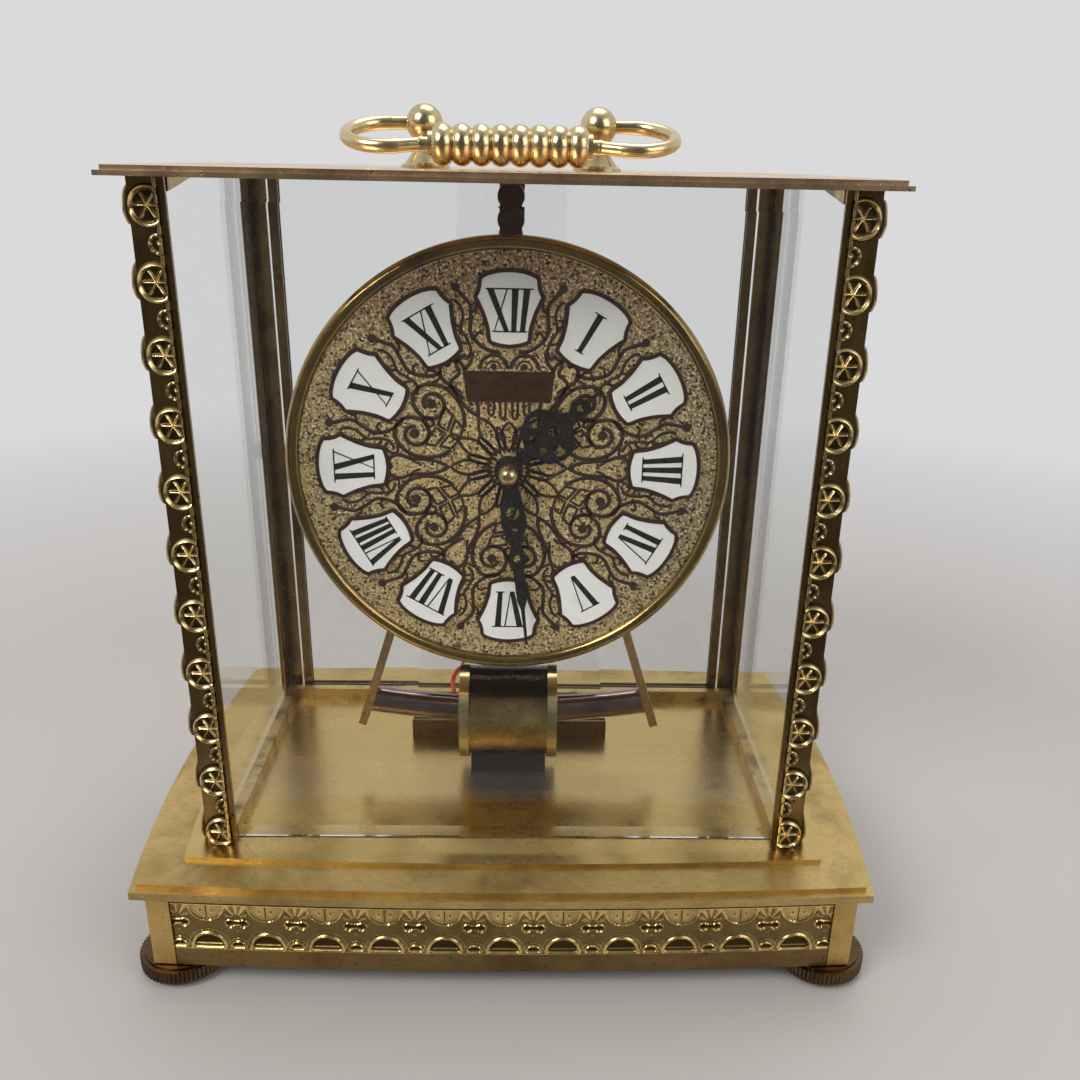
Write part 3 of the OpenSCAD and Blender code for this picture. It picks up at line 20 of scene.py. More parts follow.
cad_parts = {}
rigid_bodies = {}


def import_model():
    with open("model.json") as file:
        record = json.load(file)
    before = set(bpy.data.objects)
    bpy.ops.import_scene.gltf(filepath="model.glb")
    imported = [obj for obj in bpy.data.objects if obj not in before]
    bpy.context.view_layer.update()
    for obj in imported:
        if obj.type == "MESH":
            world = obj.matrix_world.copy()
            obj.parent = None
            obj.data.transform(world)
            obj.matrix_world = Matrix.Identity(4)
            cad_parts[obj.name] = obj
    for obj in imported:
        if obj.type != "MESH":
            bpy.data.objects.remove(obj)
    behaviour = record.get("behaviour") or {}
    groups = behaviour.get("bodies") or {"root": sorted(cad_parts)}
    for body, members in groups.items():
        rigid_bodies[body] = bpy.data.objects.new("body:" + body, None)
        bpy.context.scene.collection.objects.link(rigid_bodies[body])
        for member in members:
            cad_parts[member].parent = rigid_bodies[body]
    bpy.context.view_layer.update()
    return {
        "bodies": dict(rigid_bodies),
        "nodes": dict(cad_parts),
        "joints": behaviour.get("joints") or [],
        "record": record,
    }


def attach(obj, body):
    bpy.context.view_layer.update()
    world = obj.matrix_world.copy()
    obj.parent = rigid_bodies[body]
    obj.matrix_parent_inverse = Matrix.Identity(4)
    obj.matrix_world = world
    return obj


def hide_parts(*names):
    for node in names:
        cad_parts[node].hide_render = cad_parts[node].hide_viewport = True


MM = 0.001
Array = np.ndarray
Colour = tuple[float, float, float]
Triple = tuple[float, float, float]
log = logging.getLogger("clock")


class Slot(Enum):
    """The record's material slots, named for each of the scene's own pieces."""

    AGED_BRASS = "aged_brass"
    GILT_BRASS = "gilt_brass"
    DIAL_GOLD = "dial_gold"
    BLACK_LACQUER = "black_lacquer"
    DARK_METAL = "dark_metal"
    RED_INSULATION = "red_insulation"


class Side(Enum):
    """The four sides of the base, with the quarter turns that bring the front to each."""

    FRONT = 0
    RIGHT = 1
    REAR = 2
    LEFT = 3


class Shade:
    """The nodes of a material or of the world, with one short method for each kind of node."""

    def __init__(self, holder: Any, output: str = "ShaderNodeOutputMaterial") -> None:
        """Empties the holder's nodes and adds its output.

        Args:
            holder: The material or world.
            output: The output node's type name.
        """
        holder.use_nodes = True
        self.holder = holder
        self.tree = holder.node_tree
        self.tree.nodes.clear()
        self.output = self.tree.nodes.new(output)
        self.where = self.tree.nodes.new("ShaderNodeTexCoord").outputs
        self.coords = self.where["Object"]

    @classmethod
    def named(cls, name: str) -> "Shade":
        """The nodes of a new material of that name."""
        return cls(bpy.data.materials.new(name))

    def node(self, kind: str, inputs: dict[Any, Any], **settings: Any) -> Any:
        """Adds a node.

        Args:
            kind: The node's type name.
            inputs: Socket name or index to a value, or to another node's output.
            settings: Properties of the node itself.

        Returns:
            The new node.
        """
        new = self.tree.nodes.new(kind)
        for key, value in settings.items():
            setattr(new, key, value)
        for key, value in inputs.items():
            if isinstance(value, bpy.types.NodeSocket):
                self.tree.links.new(value, new.inputs[key])
            else:
                new.inputs[key].default_value = value
        return new

    def place(self, scale: Triple = (1, 1, 1), move: Triple = (0, 0, 0)) -> Any:
        """Object coordinates scaled, and moved in metres, as a vector socket."""
        inputs = {"Vector": self.coords, "Scale": scale, "Location": move}
        return self.node("ShaderNodeMapping", inputs).outputs[0]

    def noise(self, vector: Any, scale: float, detail: float, rough: float, twist: float = 0) -> Any:
        """Fractal noise of so many features per metre and octaves, as its factor socket."""
        inputs = {"Vector": vector, "Scale": scale, "Detail": detail, "Roughness": rough, "Distortion": twist}
        return self.node("ShaderNodeTexNoise", inputs).outputs["Fac"]

    def cells(self, vector: Any, scale: float) -> Any:
        """A pattern of so many cells per metre, as its node."""
        return self.node("ShaderNodeTexVoronoi", {"Vector": vector, "Scale": scale})

    def axis(self, vector: Any, index: int) -> Any:
        """One of a vector's three numbers, as a socket."""
        return self.node("ShaderNodeSeparateXYZ", {0: vector}).outputs[index]

    def length(self, vector: Any) -> Any:
        """A vector's length, as a socket."""
        return self.node("ShaderNodeVectorMath", {0: vector}, operation="LENGTH").outputs["Value"]

    def band(self, value: Any, low: float, high: float, to_low: float = 0.0, to_high: float = 1.0) -> Any:
        """A value mapped from the range low to high onto to_low to to_high, clamped, as a socket."""
        inputs = {0: value, 1: low, 2: high, 3: to_low, 4: to_high}
        return self.node("ShaderNodeMapRange", inputs).outputs[0]

    def maths(self, operation: str, a: Any, b: Any = 0.0) -> Any:
        """One arithmetic step, as a socket."""
        return self.node("ShaderNodeMath", {0: a, 1: b}, operation=operation).outputs[0]

    def blend(self, factor: Any, a: Any, b: Any) -> Any:
        """Two colours or colour sockets mixed, with factor as the share of b, as a socket."""
        return self.node("ShaderNodeMix", {0: factor, 6: four(a), 7: four(b)}, data_type="RGBA").outputs[2]

    def rays(self, *kinds: str) -> Any:
        """A socket that is 1 for rays of any of those kinds, and 0 for others."""
        path = self.node("ShaderNodeLightPath", {}).outputs
        share = path[f"Is {kinds[0]} Ray"]
        for kind in kinds[1:]:
            share = self.maths("MAXIMUM", share, path[f"Is {kind} Ray"])
        return share

    def attribute(self, name: str) -> Any:
        """The factor socket of a mesh attribute."""
        return self.node("ShaderNodeAttribute", {}, attribute_name=name).outputs["Fac"]

    def bump(self, height: Any, depth: float, strength: float = 1.0, under: Any = None) -> Any:
        """Bumps a surface.

        Args:
            height: The height socket, 0 to 1.
            depth: Depth in metres of height 1.
            strength: Strength from 0 to 1.
            under: A normal socket to bump further, if any.

        Returns:
            The normal socket.
        """
        inputs = {"Height": height, "Distance": depth, "Strength": strength}
        if under is not None:
            inputs["Normal"] = under
        return self.node("ShaderNodeBump", inputs).outputs[0]

    def finish(self, **sockets: Any) -> Any:
        """Adds the surface shader and returns the material.

        Args:
            sockets: Shader sockets, with underscores for the spaces of their names.

        Returns:
            The material.
        """
        inputs = {key.replace("_", " "): value for key, value in sockets.items()}
        if "Base Color" in inputs:
            inputs["Base Color"] = four(inputs["Base Color"])
        shader = self.node("ShaderNodeBsdfPrincipled", inputs)
        return self.close(shader)

    def close(self, shader: Any) -> Any:
        """Links the last shader to the output and returns the material or world."""
        self.tree.links.new(shader.outputs[0], self.output.inputs[0])
        return self.holder


def dim(colour: Colour, share: float) -> Colour:
    """A colour darkened to that share of itself."""
    return tuple(part * share for part in colour)


def four(colour: Any) -> Any:
    """A colour of three numbers with alpha 1 added; anything else as it is."""
    return (*colour, 1.0) if isinstance(colour, tuple) and len(colour) == 3 else colour


@dataclass(frozen=True)
class Metal:
    """A metal: a colour with tarnish in patches, fine drawn or grained texture, and dark pits.

    bright holds four heights in metres: the metal is painted near black below the first and above the last,
    a painted reflection of the dark parts round it, and keeps its own colour between the two in the middle.
    """

    name: str
    base: Colour
    tarnish: Colour
    rough: tuple[float, float] = (0.25, 0.45)
    patches: float = 30.0
    tarnished: tuple[float, float] = (0.45, 0.75)
    grain: float = 900.0
    stretch: Triple = (1, 1, 1)
    grain_depth: float = 0.02
    pits: float = 0.0
    pit_scale: float = 700.0
    relief: bool = False
    sparkle: float = 0.0
    bright: tuple[float, ...] = ()

    def material(self) -> Any:
        """Builds the metal.

        Base and tarnish are mixed by slow noise; fine noise stretched along the working direction
        gives the grain; the highest points of a second noise become dark pits.

        Returns:
            The material.
        """
        shade = Shade.named(self.name)
        plain = shade.place()
        slow = shade.noise(plain, self.patches, 6, 0.62, 0.4)
        colour = shade.blend(shade.band(slow, *self.tarnished), self.base, self.tarnish)
        grain = shade.noise(shade.place(self.stretch), self.grain, 3, 0.6)
        colour = shade.blend(shade.band(grain, 0.35, 0.75, 0.0, 0.35), colour, self.tarnish)
        # Painted reflection: outside the band of heights the colour goes to near-black tarnish, for the dark
        # parts mirrored above and below.
        if self.bright:
            height = shade.axis(plain, 2)
            rise, fall = shade.band(height, *self.bright[:2]), shade.band(height, *self.bright[2:], 1.0, 0.0)
            painted_reflection = shade.maths("MULTIPLY", rise, fall)
            colour = shade.blend(painted_reflection, dim(self.tarnish, 0.12), colour)
        rough = shade.band(shade.noise(plain, self.patches * 2.3, 4, 0.6), 0.3, 0.7, *self.rough)
        if self.sparkle:
            glint = shade.noise(plain, 2600, 2, 0.7)
            rough = shade.maths("SUBTRACT", rough, shade.band(glint, 0.5, 0.75, 0.0, self.sparkle))
        if self.relief:
            # Painted shade: where the relief attribute is low, in recesses, openings and hidden backs, the
            # colour goes to near-black tarnish.
            hollow = shade.band(shade.attribute("relief"), 0.22, 0.85)
            colour = shade.blend(hollow, dim(self.tarnish, 0.16), colour)
            rough = shade.maths("ADD", rough, shade.band(shade.attribute("relief"), 0.1, 0.6, 0.3, 0.0))
        normal = shade.bump(grain, self.grain_depth * MM, 0.6)
        if self.pits:
            pit = shade.band(shade.noise(plain, self.pit_scale, 2, 0.5), 0.72 - self.pits, 0.8 - self.pits)
            colour = shade.blend(pit, colour, dim(self.tarnish, 0.3))
            rough = shade.maths("ADD", rough, shade.maths("MULTIPLY", pit, 0.25))
            normal = shade.bump(shade.maths("SUBTRACT", 1.0, pit), 0.05 * MM, 0.7, normal)
        return shade.finish(Base_Color=colour, Metallic=1.0, Roughness=rough, Normal=normal)


@dataclass(frozen=True)
class DialGround:
    """The dial's gilt ground: coarse bright grains, painted glints, warmer in the middle and browner at the
    top.
    """

    name: str = "dial ground"
    hub: Triple = (0.0, 0.0, 0.1525)
    middle: Colour = (0.78, 0.53, 0.18)
    border: Colour = (0.62, 0.45, 0.19)
    above: Colour = (0.46, 0.21, 0.09)
    right: Colour = (0.24, 0.20, 0.13)
    hollow: Colour = (0.03, 0.015, 0.008)
    glint: Colour = (1.0, 0.87, 0.58)
    grains: float = 1500
    fine_and_glint_scale: float = 1300

    def material(self) -> Any:
        """Builds the ground.

        Small cells of random brightness are the grains, and the peaks of a fine noise are painted glints;
        distance from the hub, and height above it, shift the colour; the cells and the fine noise are the
        bump.

        Returns:
            The material.
        """
        shade = Shade.named(self.name)
        plain = shade.place()
        grains = shade.cells(plain, self.grains)
        tone = shade.node("ShaderNodeSeparateColor", {0: grains.outputs["Color"]}).outputs[0]
        from_hub = shade.place(move=tuple(-v for v in self.hub))
        outward = shade.band(shade.length(from_hub), 0.02, 0.055)
        warm = shade.blend(outward, self.middle, self.border)
        brown = shade.band(shade.axis(from_hub, 2), 0.025, 0.062)
        warm = shade.blend(shade.maths("MULTIPLY", brown, 0.9), warm, self.above)
        cool = shade.band(shade.axis(from_hub, 0), 0.02, 0.06, 0.0, 0.45)
        warm = shade.blend(cool, warm, self.right)
        colour = shade.blend(shade.band(tone, 0.12, 0.6), shade.blend(0.88, warm, self.hollow), warm)
        # Painted glints: where the fine noise peaks, the ground takes the near-white glint colour.
        fine = shade.noise(plain, self.fine_and_glint_scale, 3, 0.7)
        colour = shade.blend(shade.band(fine, 0.53, 0.6), colour, self.glint)
        normal = shade.bump(grains.outputs["Distance"], 0.16 * MM, 1.0)
        normal = shade.bump(fine, 0.22 * MM, 0.9, normal)
        rough = shade.band(tone, 0.0, 1.0, 0.22, 0.5)
        return shade.finish(Base_Color=colour, Metallic=0.6, Roughness=rough, Normal=normal)


@dataclass(frozen=True)
class Coat:
    """A non-metal finish: enamel, lacquer, plastic, insulation or a printed line."""

    name: str
    base: Colour
    second: Colour
    rough: tuple[float, float] = (0.3, 0.45)
    mottle: float = 60.0
    texture: float = 900.0
    depth: float = 0.01
    gloss: float = 0.0

    def material(self) -> Any:
        """Builds the coat: slow mottling between two near colours, and a fine surface texture.

        Returns:
            The material.
        """
        shade = Shade.named(self.name)
        plain = shade.place()
        slow = shade.noise(plain, self.mottle, 5, 0.6)
        colour = shade.blend(shade.band(slow, 0.35, 0.7), self.base, self.second)
        fine = shade.noise(plain, self.texture, 3, 0.6)
        rough = shade.band(fine, 0.3, 0.7, *self.rough)
        normal = shade.bump(fine, self.depth * MM, 0.6)
        coat = {"Coat_Weight": self.gloss, "Coat_Roughness": 0.06}
        return shade.finish(Base_Color=colour, Roughness=rough, Normal=normal, **coat)


@dataclass(frozen=True)
class Clear:
    """Glass or acrylic: clear, with a few soft smears that dull the gloss."""

    name: str
    tint: Colour
    index: float
    smear: float = 0.05

    def material(self) -> Any:
        """Builds the clear finish.

        Returns:
            The material.
        """
        shade = Shade.named(self.name)
        wipes = shade.noise(shade.place((1, 1, 0.4)), 45, 4, 0.6, 0.8)
        rough = shade.band(wipes, 0.55, 0.8, 0.0, self.smear)
        return shade.finish(Base_Color=self.tint, Roughness=rough, IOR=self.index, Transmission_Weight=1.0)


@dataclass(frozen=True)
class Winding:
    """Fine enamelled wire wound round an axis along X: close ridges of copper brown."""

    name: str
    wire: Colour = (0.55, 0.22, 0.09)
    pitch: float = 0.35

    def material(self) -> Any:
        """Builds the winding: a sine along X once every pitch gives the ridges of the turns,
        and painted shade in the grooves between them.

        Returns:
            The material.
        """
        shade = Shade.named(self.name)
        across = shade.axis(shade.place(), 0)
        wave = shade.maths("SINE", shade.maths("MULTIPLY", across, 2 * math.pi / (self.pitch * MM)))
        ridge = shade.band(wave, -1.0, 1.0)
        # Painted shade: the grooves between the turns are painted at 0.3 of the wire's colour.
        colour = shade.blend(ridge, dim(self.wire, 0.3), self.wire)
        normal = shade.bump(ridge, 0.1 * MM, 0.8)
        return shade.finish(Base_Color=colour, Metallic=0.7, Roughness=0.3, Normal=normal)


class Surface:
    """Grids of points gathered into one mesh; points are in millimetres."""

    def __init__(self) -> None:
        """Starts with nothing in it."""
        self.points: list[Array] = []
        self.values: list[Array] = []
        self.faces: list[list[int]] = []
        self.count = 0

    def grid(self, points: Array, loop: bool = False, caps: bool = False,
             relief: Array | None = None) -> None:
        """Adds a grid: sections along the first axis, each a row of points along the second.

        Args:
            points: Rows by columns by 3.
            loop: Whether the rows join up, last to first.
            caps: Whether every row is a closed outline, with the first and last filled in.
            relief: A value per point, kept as the relief attribute.
        """
        rows, cols = points.shape[:2]
        last_row, last_col = (rows if loop else rows - 1), (cols if caps or loop else cols - 1)
        i, j = np.meshgrid(np.arange(last_row), np.arange(last_col), indexing="ij")
        i2, j2 = (i + 1) % rows, (j + 1) % cols
        quads = np.stack([i * cols + j, i * cols + j2, i2 * cols + j2, i2 * cols + j], -1).reshape(-1, 4)
        self.faces += (quads + self.count).tolist()
        if caps:
            start, end = self.count, self.count + (rows - 1) * cols
            self.faces += [list(range(start + cols - 1, start - 1, -1)), list(range(end, end + cols))]
        self.points.append(points.reshape(-1, 3))
        self.values.append(np.ones(rows * cols) if relief is None else relief.reshape(-1))
        self.count += rows * cols

    def piece(self, name: str, body: str, slot: Slot, material: Any, replaces: tuple[str, ...] = (),
              merge: bool = False, crease: float = 40) -> Any:
        """Makes the mesh object, gives it its finish and lets it ride on its body.

        Args:
            name: Name of the piece.
            body: CAD body that carries it.
            slot: The record's material slot; not used.
            material: The finish.
            replaces: CAD nodes that it stands for.
            merge: Whether points in one place become one.
            crease: Angle in degrees past which an edge stays sharp.

        Returns:
            The object.
        """
        mesh = bpy.data.meshes.new(name)
        mesh.from_pydata(np.concatenate(self.points) * MM, [], self.faces)
        attribute = mesh.attributes.new("relief", "FLOAT", "POINT")
        attribute.data.foreach_set("value", np.concatenate(self.values).astype(np.float32))
        work = bmesh.new()
        work.from_mesh(mesh)
        if merge:
            bmesh.ops.remove_doubles(work, verts=work.verts, dist=1e-7)
            bmesh.ops.dissolve_degenerate(work, edges=work.edges, dist=1e-7)
        bmesh.ops.recalc_face_normals(work, faces=work.faces)
        work.to_mesh(mesh)
        work.free()
        mesh.polygons.foreach_set("use_smooth", np.ones(len(mesh.polygons), dtype=bool))
        mesh.set_sharp_from_angle(angle=math.radians(crease))
        mesh.materials.append(material)
        thing = bpy.data.objects.new(name, mesh)
        bpy.context.scene.collection.objects.link(thing)
        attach(thing, body)
        if replaces:
            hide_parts(*replaces)
        log.info("%s: %d faces on %s", name, len(mesh.polygons), body)
        return thing


def ridge(distance: Array, width: float) -> Array:
    """A rounded ridge: 1 on the line, falling off as a bell of that half width."""
    return np.exp(-((distance / width) ** 2))


def step(value: Array, low: float, high: float) -> Array:
    """A smooth step from 0 at low to 1 at high."""
    share = np.clip((value - low) / (high - low), 0, 1)
    return share * share * (3 - 2 * share)


def smooth_path(knots: Array, per_span: int = 10) -> Array:
    """A smooth curve through knots: each span is the cubic whose end slopes are half the chords beside it.

    Args:
        knots: Points, one per row.
        per_span: Points per span.

    Returns:
        The points of the curve.
    """
    ends = np.concatenate([2 * knots[:1] - knots[1:2], knots, 2 * knots[-1:] - knots[-2:-1]])
    before, start, end, after = (ends[i : len(ends) - 3 + i, None, :] for i in range(4))
    t = np.linspace(0, 1, per_span, endpoint=False)[None, :, None]
    cubic = 0.5 * (2 * start + (end - before) * t + (2 * before - 5 * start + 4 * end - after) * t**2
                   + (3 * start - before - 3 * end + after) * t**3)
    return np.concatenate([cubic.reshape(-1, knots.shape[1]), knots[-1:]])


def circle(turn: Array) -> Array:
    """Points of the unit circle at those angles."""
    return np.stack([np.cos(turn), np.sin(turn)], -1)


def on_axis(flat: Array, hour: float) -> Array:
    """Points given across and out along the axis of 12 o'clock, turned to that hour's axis."""
    turn = math.radians(hour * 30)
    return flat @ np.array([[math.cos(turn), -math.sin(turn)], [math.sin(turn), math.cos(turn)]])


def fill_in(corners: Array, parts: int) -> Array:
    """A closed outline with every edge cut into that many equal parts."""
    share = np.linspace(0, 1, parts, endpoint=False)[None, :, None]
    ends = np.roll(corners, -1, axis=0)
    return (corners[:, None, :] * (1 - share) + ends[:, None, :] * share).reshape(-1, 2)


@dataclass
class Base:
    """The base: gallery strips of arches and pendants in relief, between plain metal parts."""

    width: float = 213.4
    depth: float = 138.4
    bow_side: float = 4.6
    bow_front: float = 3.3
    strip_z: float = 13.3
    strip_h: float = 16.5
    back: float = 1.4
    post: float = 7.2
    pitch: float = 17.8
    step: float = 0.3
    ground: float = 0.34
    deep: float = 0.02
    arch_foot: float = 0.6
    arch_open: float = 4.2
    arch_rim: float = 5.0
    arch_line: float = 6.35
    hang_z: float = 15.9
    hang_rim: float = 5.35
    drop_x: float = 1.75
    drop_z: float = 13.6
    fan_z: float = 11.4
    fan_ribs: float = 5.5
    bone_x: float = 2.0
    bone_z: float = 9.4
    bead_z: float = 6.7
    small_open: float = 1.75
    small_rim: float = 2.2
    small_line: float = 3.3

    def across(self, along: Array, inset: Array, side: Side) -> Array:
        """Points of the bowed outline, drawn in by an inset.

        The side is an arc whose radius follows from its chord and its bow; drawn in, the radius
        shrinks by the inset about the same centre. The result is turned to its side.

        Args:
            along: Place along the side, from its middle.
            inset: How far the point lies inside the outline.
            side: Which side.

        Returns:
            Plan points, two numbers each.
        """
        front = side in (Side.FRONT, Side.REAR)
        chord, bow = (self.width, self.bow_front) if front else (self.depth, self.bow_side)
        out = self.depth / 2 if front else self.width / 2
        radius = (chord * chord / 4 + bow * bow) / (2 * bow)
        away = out + bow - radius + np.sqrt((radius - inset) ** 2 - along**2)
        x, y = along, -away
        for _ in range(side.value):
            x, y = -y, x
        return np.stack([x, y], -1)

    def height(self, along: Array, z: Array, count: int) -> Array:
        """Relief of a strip, from 0 in the deepest openings to 1 on the highest rims.

        Each pitch has a large arch: a rounded rim along a circle centred at the foot, with bars at
        its foot inside. Above it hangs a pendant, a disc cut by the top edge, with a rim and two
        drops. Halfway to the next arch stand a fan of ribs, a bone-shaped slot in a frame, a bead
        and a small arch with a double rim.

        Args:
            along: Place along the strip.
            z: Height above the strip's foot.
            count: Number of large arches.

        Returns:
            The relief at each point.
        """
        a = ((along / self.pitch + count / 2) % 1.0 - 0.5) * self.pitch
        b = (self.pitch / 2 - np.abs(a)) * np.sign(a + 1e-9)
        arch = np.hypot(a, z - self.arch_foot)
        bars = ridge(z - 1.5, 0.28) * 0.5 + ridge(z - 2.6, 0.22) * 0.35
        hang = np.hypot(a, z - self.hang_z)
        drop = np.hypot((np.abs(a) - self.drop_x) / 0.85, (z - self.drop_z) / 1.5)
        level = np.maximum.reduce([
            self.ground * step(arch, self.arch_open, 4.7),
            bars * (arch < self.arch_open),
            ridge(arch - self.arch_rim, 0.62),
            0.62 * ridge(arch - self.arch_line, 0.26) * (z > self.arch_foot),
            (0.50 + 0.22 * (1 - (hang / 5.4) ** 2)) * (hang < 5.2),
            0.98 * ridge(hang - self.hang_rim, 0.48),
            0.50 * (hang < 5.4) + 0.48 * ridge(drop, 0.8)])
        level = np.where((np.abs(a) < 0.22) & (hang < 4.6), np.minimum(level, 0.35), level)
        fan = np.hypot(b, z - self.fan_z)
        ribs = 0.36 + 0.5 * np.abs(np.cos(np.arctan2(b, z - self.fan_z) * self.fan_ribs)) ** 1.5
        ribs = ribs * ((fan > 1.2) & (z > 11.6) & (np.abs(b) < 3.4) & (hang > 5.7))
        knuckles = np.hypot(np.abs(b) - self.bone_x, z - self.bone_z) - 1.0
        bone = np.minimum(knuckles, np.maximum(np.abs(z - self.bone_z) - 0.5, np.abs(b) - 2.2))
        level = np.maximum.reduce([level, ribs, 0.85 * ridge(bone - 0.42, 0.34)])
        level = np.where(bone < 0.05, self.deep, level)
        level = np.maximum(level, 0.8 * ridge(np.hypot(b, z - self.bead_z), 0.55))
        small = np.hypot(b, z - self.arch_foot)
        level = np.where(small < self.small_open, self.deep, level)
        return np.maximum.reduce([
            level,
            0.9 * ridge(small - self.small_rim, 0.36) * (z > 0.4),
            0.7 * ridge(small - self.small_line, 0.28) * (z > 0.4),
            0.95 * step(0.75 - z, 0.0, 0.3),
            0.9 * step(z - self.strip_h + 0.8, 0.0, 0.25)])

    def strip(self, surface: Surface, side: Side) -> None:
        """Adds one strip: its relief is carried along the bowed side, and a flat back closes it.

        Args:
            surface: Where it goes.
            side: Which side of the base.
        """
        length = self.width if side in (Side.FRONT, Side.REAR) else self.depth
        end = length / 2 - self.post
        count = round((length - 13.8) / self.pitch)
        along = np.linspace(-end, end, int(2 * end / self.step))
        up = np.linspace(0, self.strip_h, int(self.strip_h / self.step))
        s, z = np.meshgrid(along, up, indexing="ij")
        relief = self.height(s, z, count)
        outer = np.dstack([self.across(s, self.back - 0.12 - 1.2 * relief, side), z + self.strip_z])
        foot = np.array([self.strip_h, 0.0])
        s2, z2 = np.meshgrid(along, foot, indexing="ij")
        inner = np.dstack([self.across(s2, np.full(s2.shape, self.back), side), z2 + self.strip_z])
        points = np.concatenate([outer, inner], axis=1)
        values = np.concatenate([relief, np.zeros(s2.shape)], axis=1)
        surface.grid(points, caps=True, relief=values)

    def build(self, material: Any) -> None:
        """Makes the four strips, two by two.

        Args:
            material: Their relief metal.
        """
        for name, sides in (("gallery_front_and_rear", (Side.FRONT, Side.REAR)),
                            ("gallery_left_and_right", (Side.LEFT, Side.RIGHT))):
            surface = Surface()
            for side in sides:
                self.strip(surface, side)
            surface.piece(name, "case", Slot.GILT_BRASS, material, ("base_gallery_strips",), crease=75)


@dataclass
class ColumnRelief:
    """Medallions down the front and outer faces of both front columns, beside a plain straight edge."""

    face_x: float = 92.1
    face_y: float = 52.0
    inner: float = 7.5
    foot: float = 39.2
    run: float = 191.8
    pitch: float = 18.1
    top: float = 6.4
    radius: float = 5.2
    small: float = 3.0
    centre: float = 2.6
    small_centre: float = 0.78
    base: float = 0.6
    rise: float = 1.25

    def rosette(self, r: Array, turn: Array, size: float) -> Array:
        """Relief of a large medallion: a rim, wider below, and a six-rayed star with a boss.

        Args:
            r: Distance from the centre.
            turn: Angle.
            size: Radius of the medallion.

        Returns:
            Height from 0 to about 1.
        """
        u = r / size / (0.92 + 0.1 * np.maximum(-np.sin(turn), 0))
        sector = (turn + math.pi / 6) % (math.pi / 3) - math.pi / 6
        ray = ridge(r * np.sin(sector), 0.5) * step(0.76 - u, 0.0, 0.1)
        level = np.maximum.reduce([0.18 + 0.1 * (1 - u), ridge(u - 0.88, 0.12), (0.66 + 0.3 * (1 - u)) * ray,
                                   0.98 * ridge(u, 0.17)])
        return level * step(1.03 - u, 0.0, 0.09)

    def button(self, r: Array, turn: Array, size: float) -> Array:
        """Relief of a small medallion: a ring ridge with notches round it, and a boss.

        Args:
            r: Distance from the centre.
            turn: Angle.
            size: Radius of the medallion.

        Returns:
            Height from 0 to about 0.7.
        """
        u = r / size
        level = 0.14 + 0.62 * ridge(u - 0.78, 0.16) * (0.8 + 0.2 * np.cos(turn * 9))
        level = np.maximum(level, 0.66 * ridge(u, 0.24))
        return level * step(1.04 - u, 0.0, 0.12)

    def medallion(self, surface: Surface, place: Any, at: float, up: float, size: float, large: bool) -> None:
        """Adds a medallion, cut off straight where it meets the plain edge at zero across.

        Rays from the centre run out to the rim or to the edge line, whichever is nearer; the top
        follows the relief, and the underside is flat.

        Args:
            surface: Where it goes.
            place: Turns across, up and out into model points.
            at: The centre's distance from the edge line.
            up: The centre's height.
            size: Its radius.
            large: Whether it is a rosette or a button.
        """
        turns, rings, form = (72, 15, self.rosette) if large else (36, 9, self.button)
        share = np.linspace(0.02, 1, rings)
        turn, part = np.meshgrid(np.linspace(0, 2 * math.pi, turns, endpoint=False), share, indexing="ij")
        toward = -np.cos(turn)
        reach = np.where(toward > at / size, at / np.maximum(toward, 1e-6), size)
        ceiling = np.where(np.sin(turn) > 0, self.foot + self.run - up, up - self.foot)
        reach = np.minimum(reach, ceiling / np.maximum(np.abs(np.sin(turn)), 1e-6))
        r = reach * part
        relief = form(r, turn, size)
        across, high = at + r * np.cos(turn), up + r * np.sin(turn)
        top = place(across, high, self.base + self.rise * relief)
        under = place(across[:, -1:], high[:, -1:], r[:, -1:] * 0)
        crown = float((self.base + self.rise * form(r[:1, :1] * 0, turn[:1, :1], size))[0, 0])
        heart, peak = (place(*(np.full((turns, 1), part) for part in (at, up, out))) for out in (0.0, crown))
        points = np.concatenate([heart, peak, top, under], axis=1)
        values = np.concatenate([relief[:, :1], relief[:, :1], relief, relief[:, -1:] * 0], axis=1)
        surface.grid(points, loop=True, relief=values)

    def strip(self, surface: Surface, place: Any) -> None:
        """Adds one face's ornament: the straight edge with its bead, and the two kinds of medallion.

        Args:
            surface: Where it goes.
            place: Turns across, up and out into model points.
        """
        count = int((self.run - self.top) // self.pitch)
        start = self.foot + self.run - self.top - count * self.pitch
        for i in range(count + 1):
            self.medallion(surface, place, self.centre, start + i * self.pitch, self.radius, True)
        for i in range(count):
            up = start + (i + 0.5) * self.pitch
            self.medallion(surface, place, self.small_centre, up, self.small, False)
        around = np.linspace(0, 2 * math.pi, 16, endpoint=False)
        ends = np.array([self.foot, self.foot + self.run])
        u, turn = np.meshgrid(ends, around, indexing="ij")
        out = np.maximum(0.45 + 0.45 * np.sin(turn), 0.0)
        surface.grid(place(0.5 - 0.5 * np.cos(turn), u, out + 0.25 * (np.sin(turn) > 0)), caps=True,
                     relief=np.full(u.shape, 0.8))

    def build(self, material: Any) -> None:
        """Makes the ornament of each front column, on its front and its outer face.

        Args:
            material: The relief metal.
        """
        for name, s in (("column_relief_left", -1), ("column_relief_right", 1)):
            surface = Surface()
            self.strip(surface, lambda a, u, h, s=s: np.stack(
                [s * (self.face_x - self.inner + a), -self.face_y - h + a * 0, u + a * 0], -1))
            self.strip(surface, lambda a, u, h, s=s: np.stack(
                [s * (self.face_x + h) + a * 0, -self.face_y + self.inner - a, u + a * 0], -1))
            surface.piece(name, "case", Slot.AGED_BRASS, material, ("column_ornament",), True, 70)


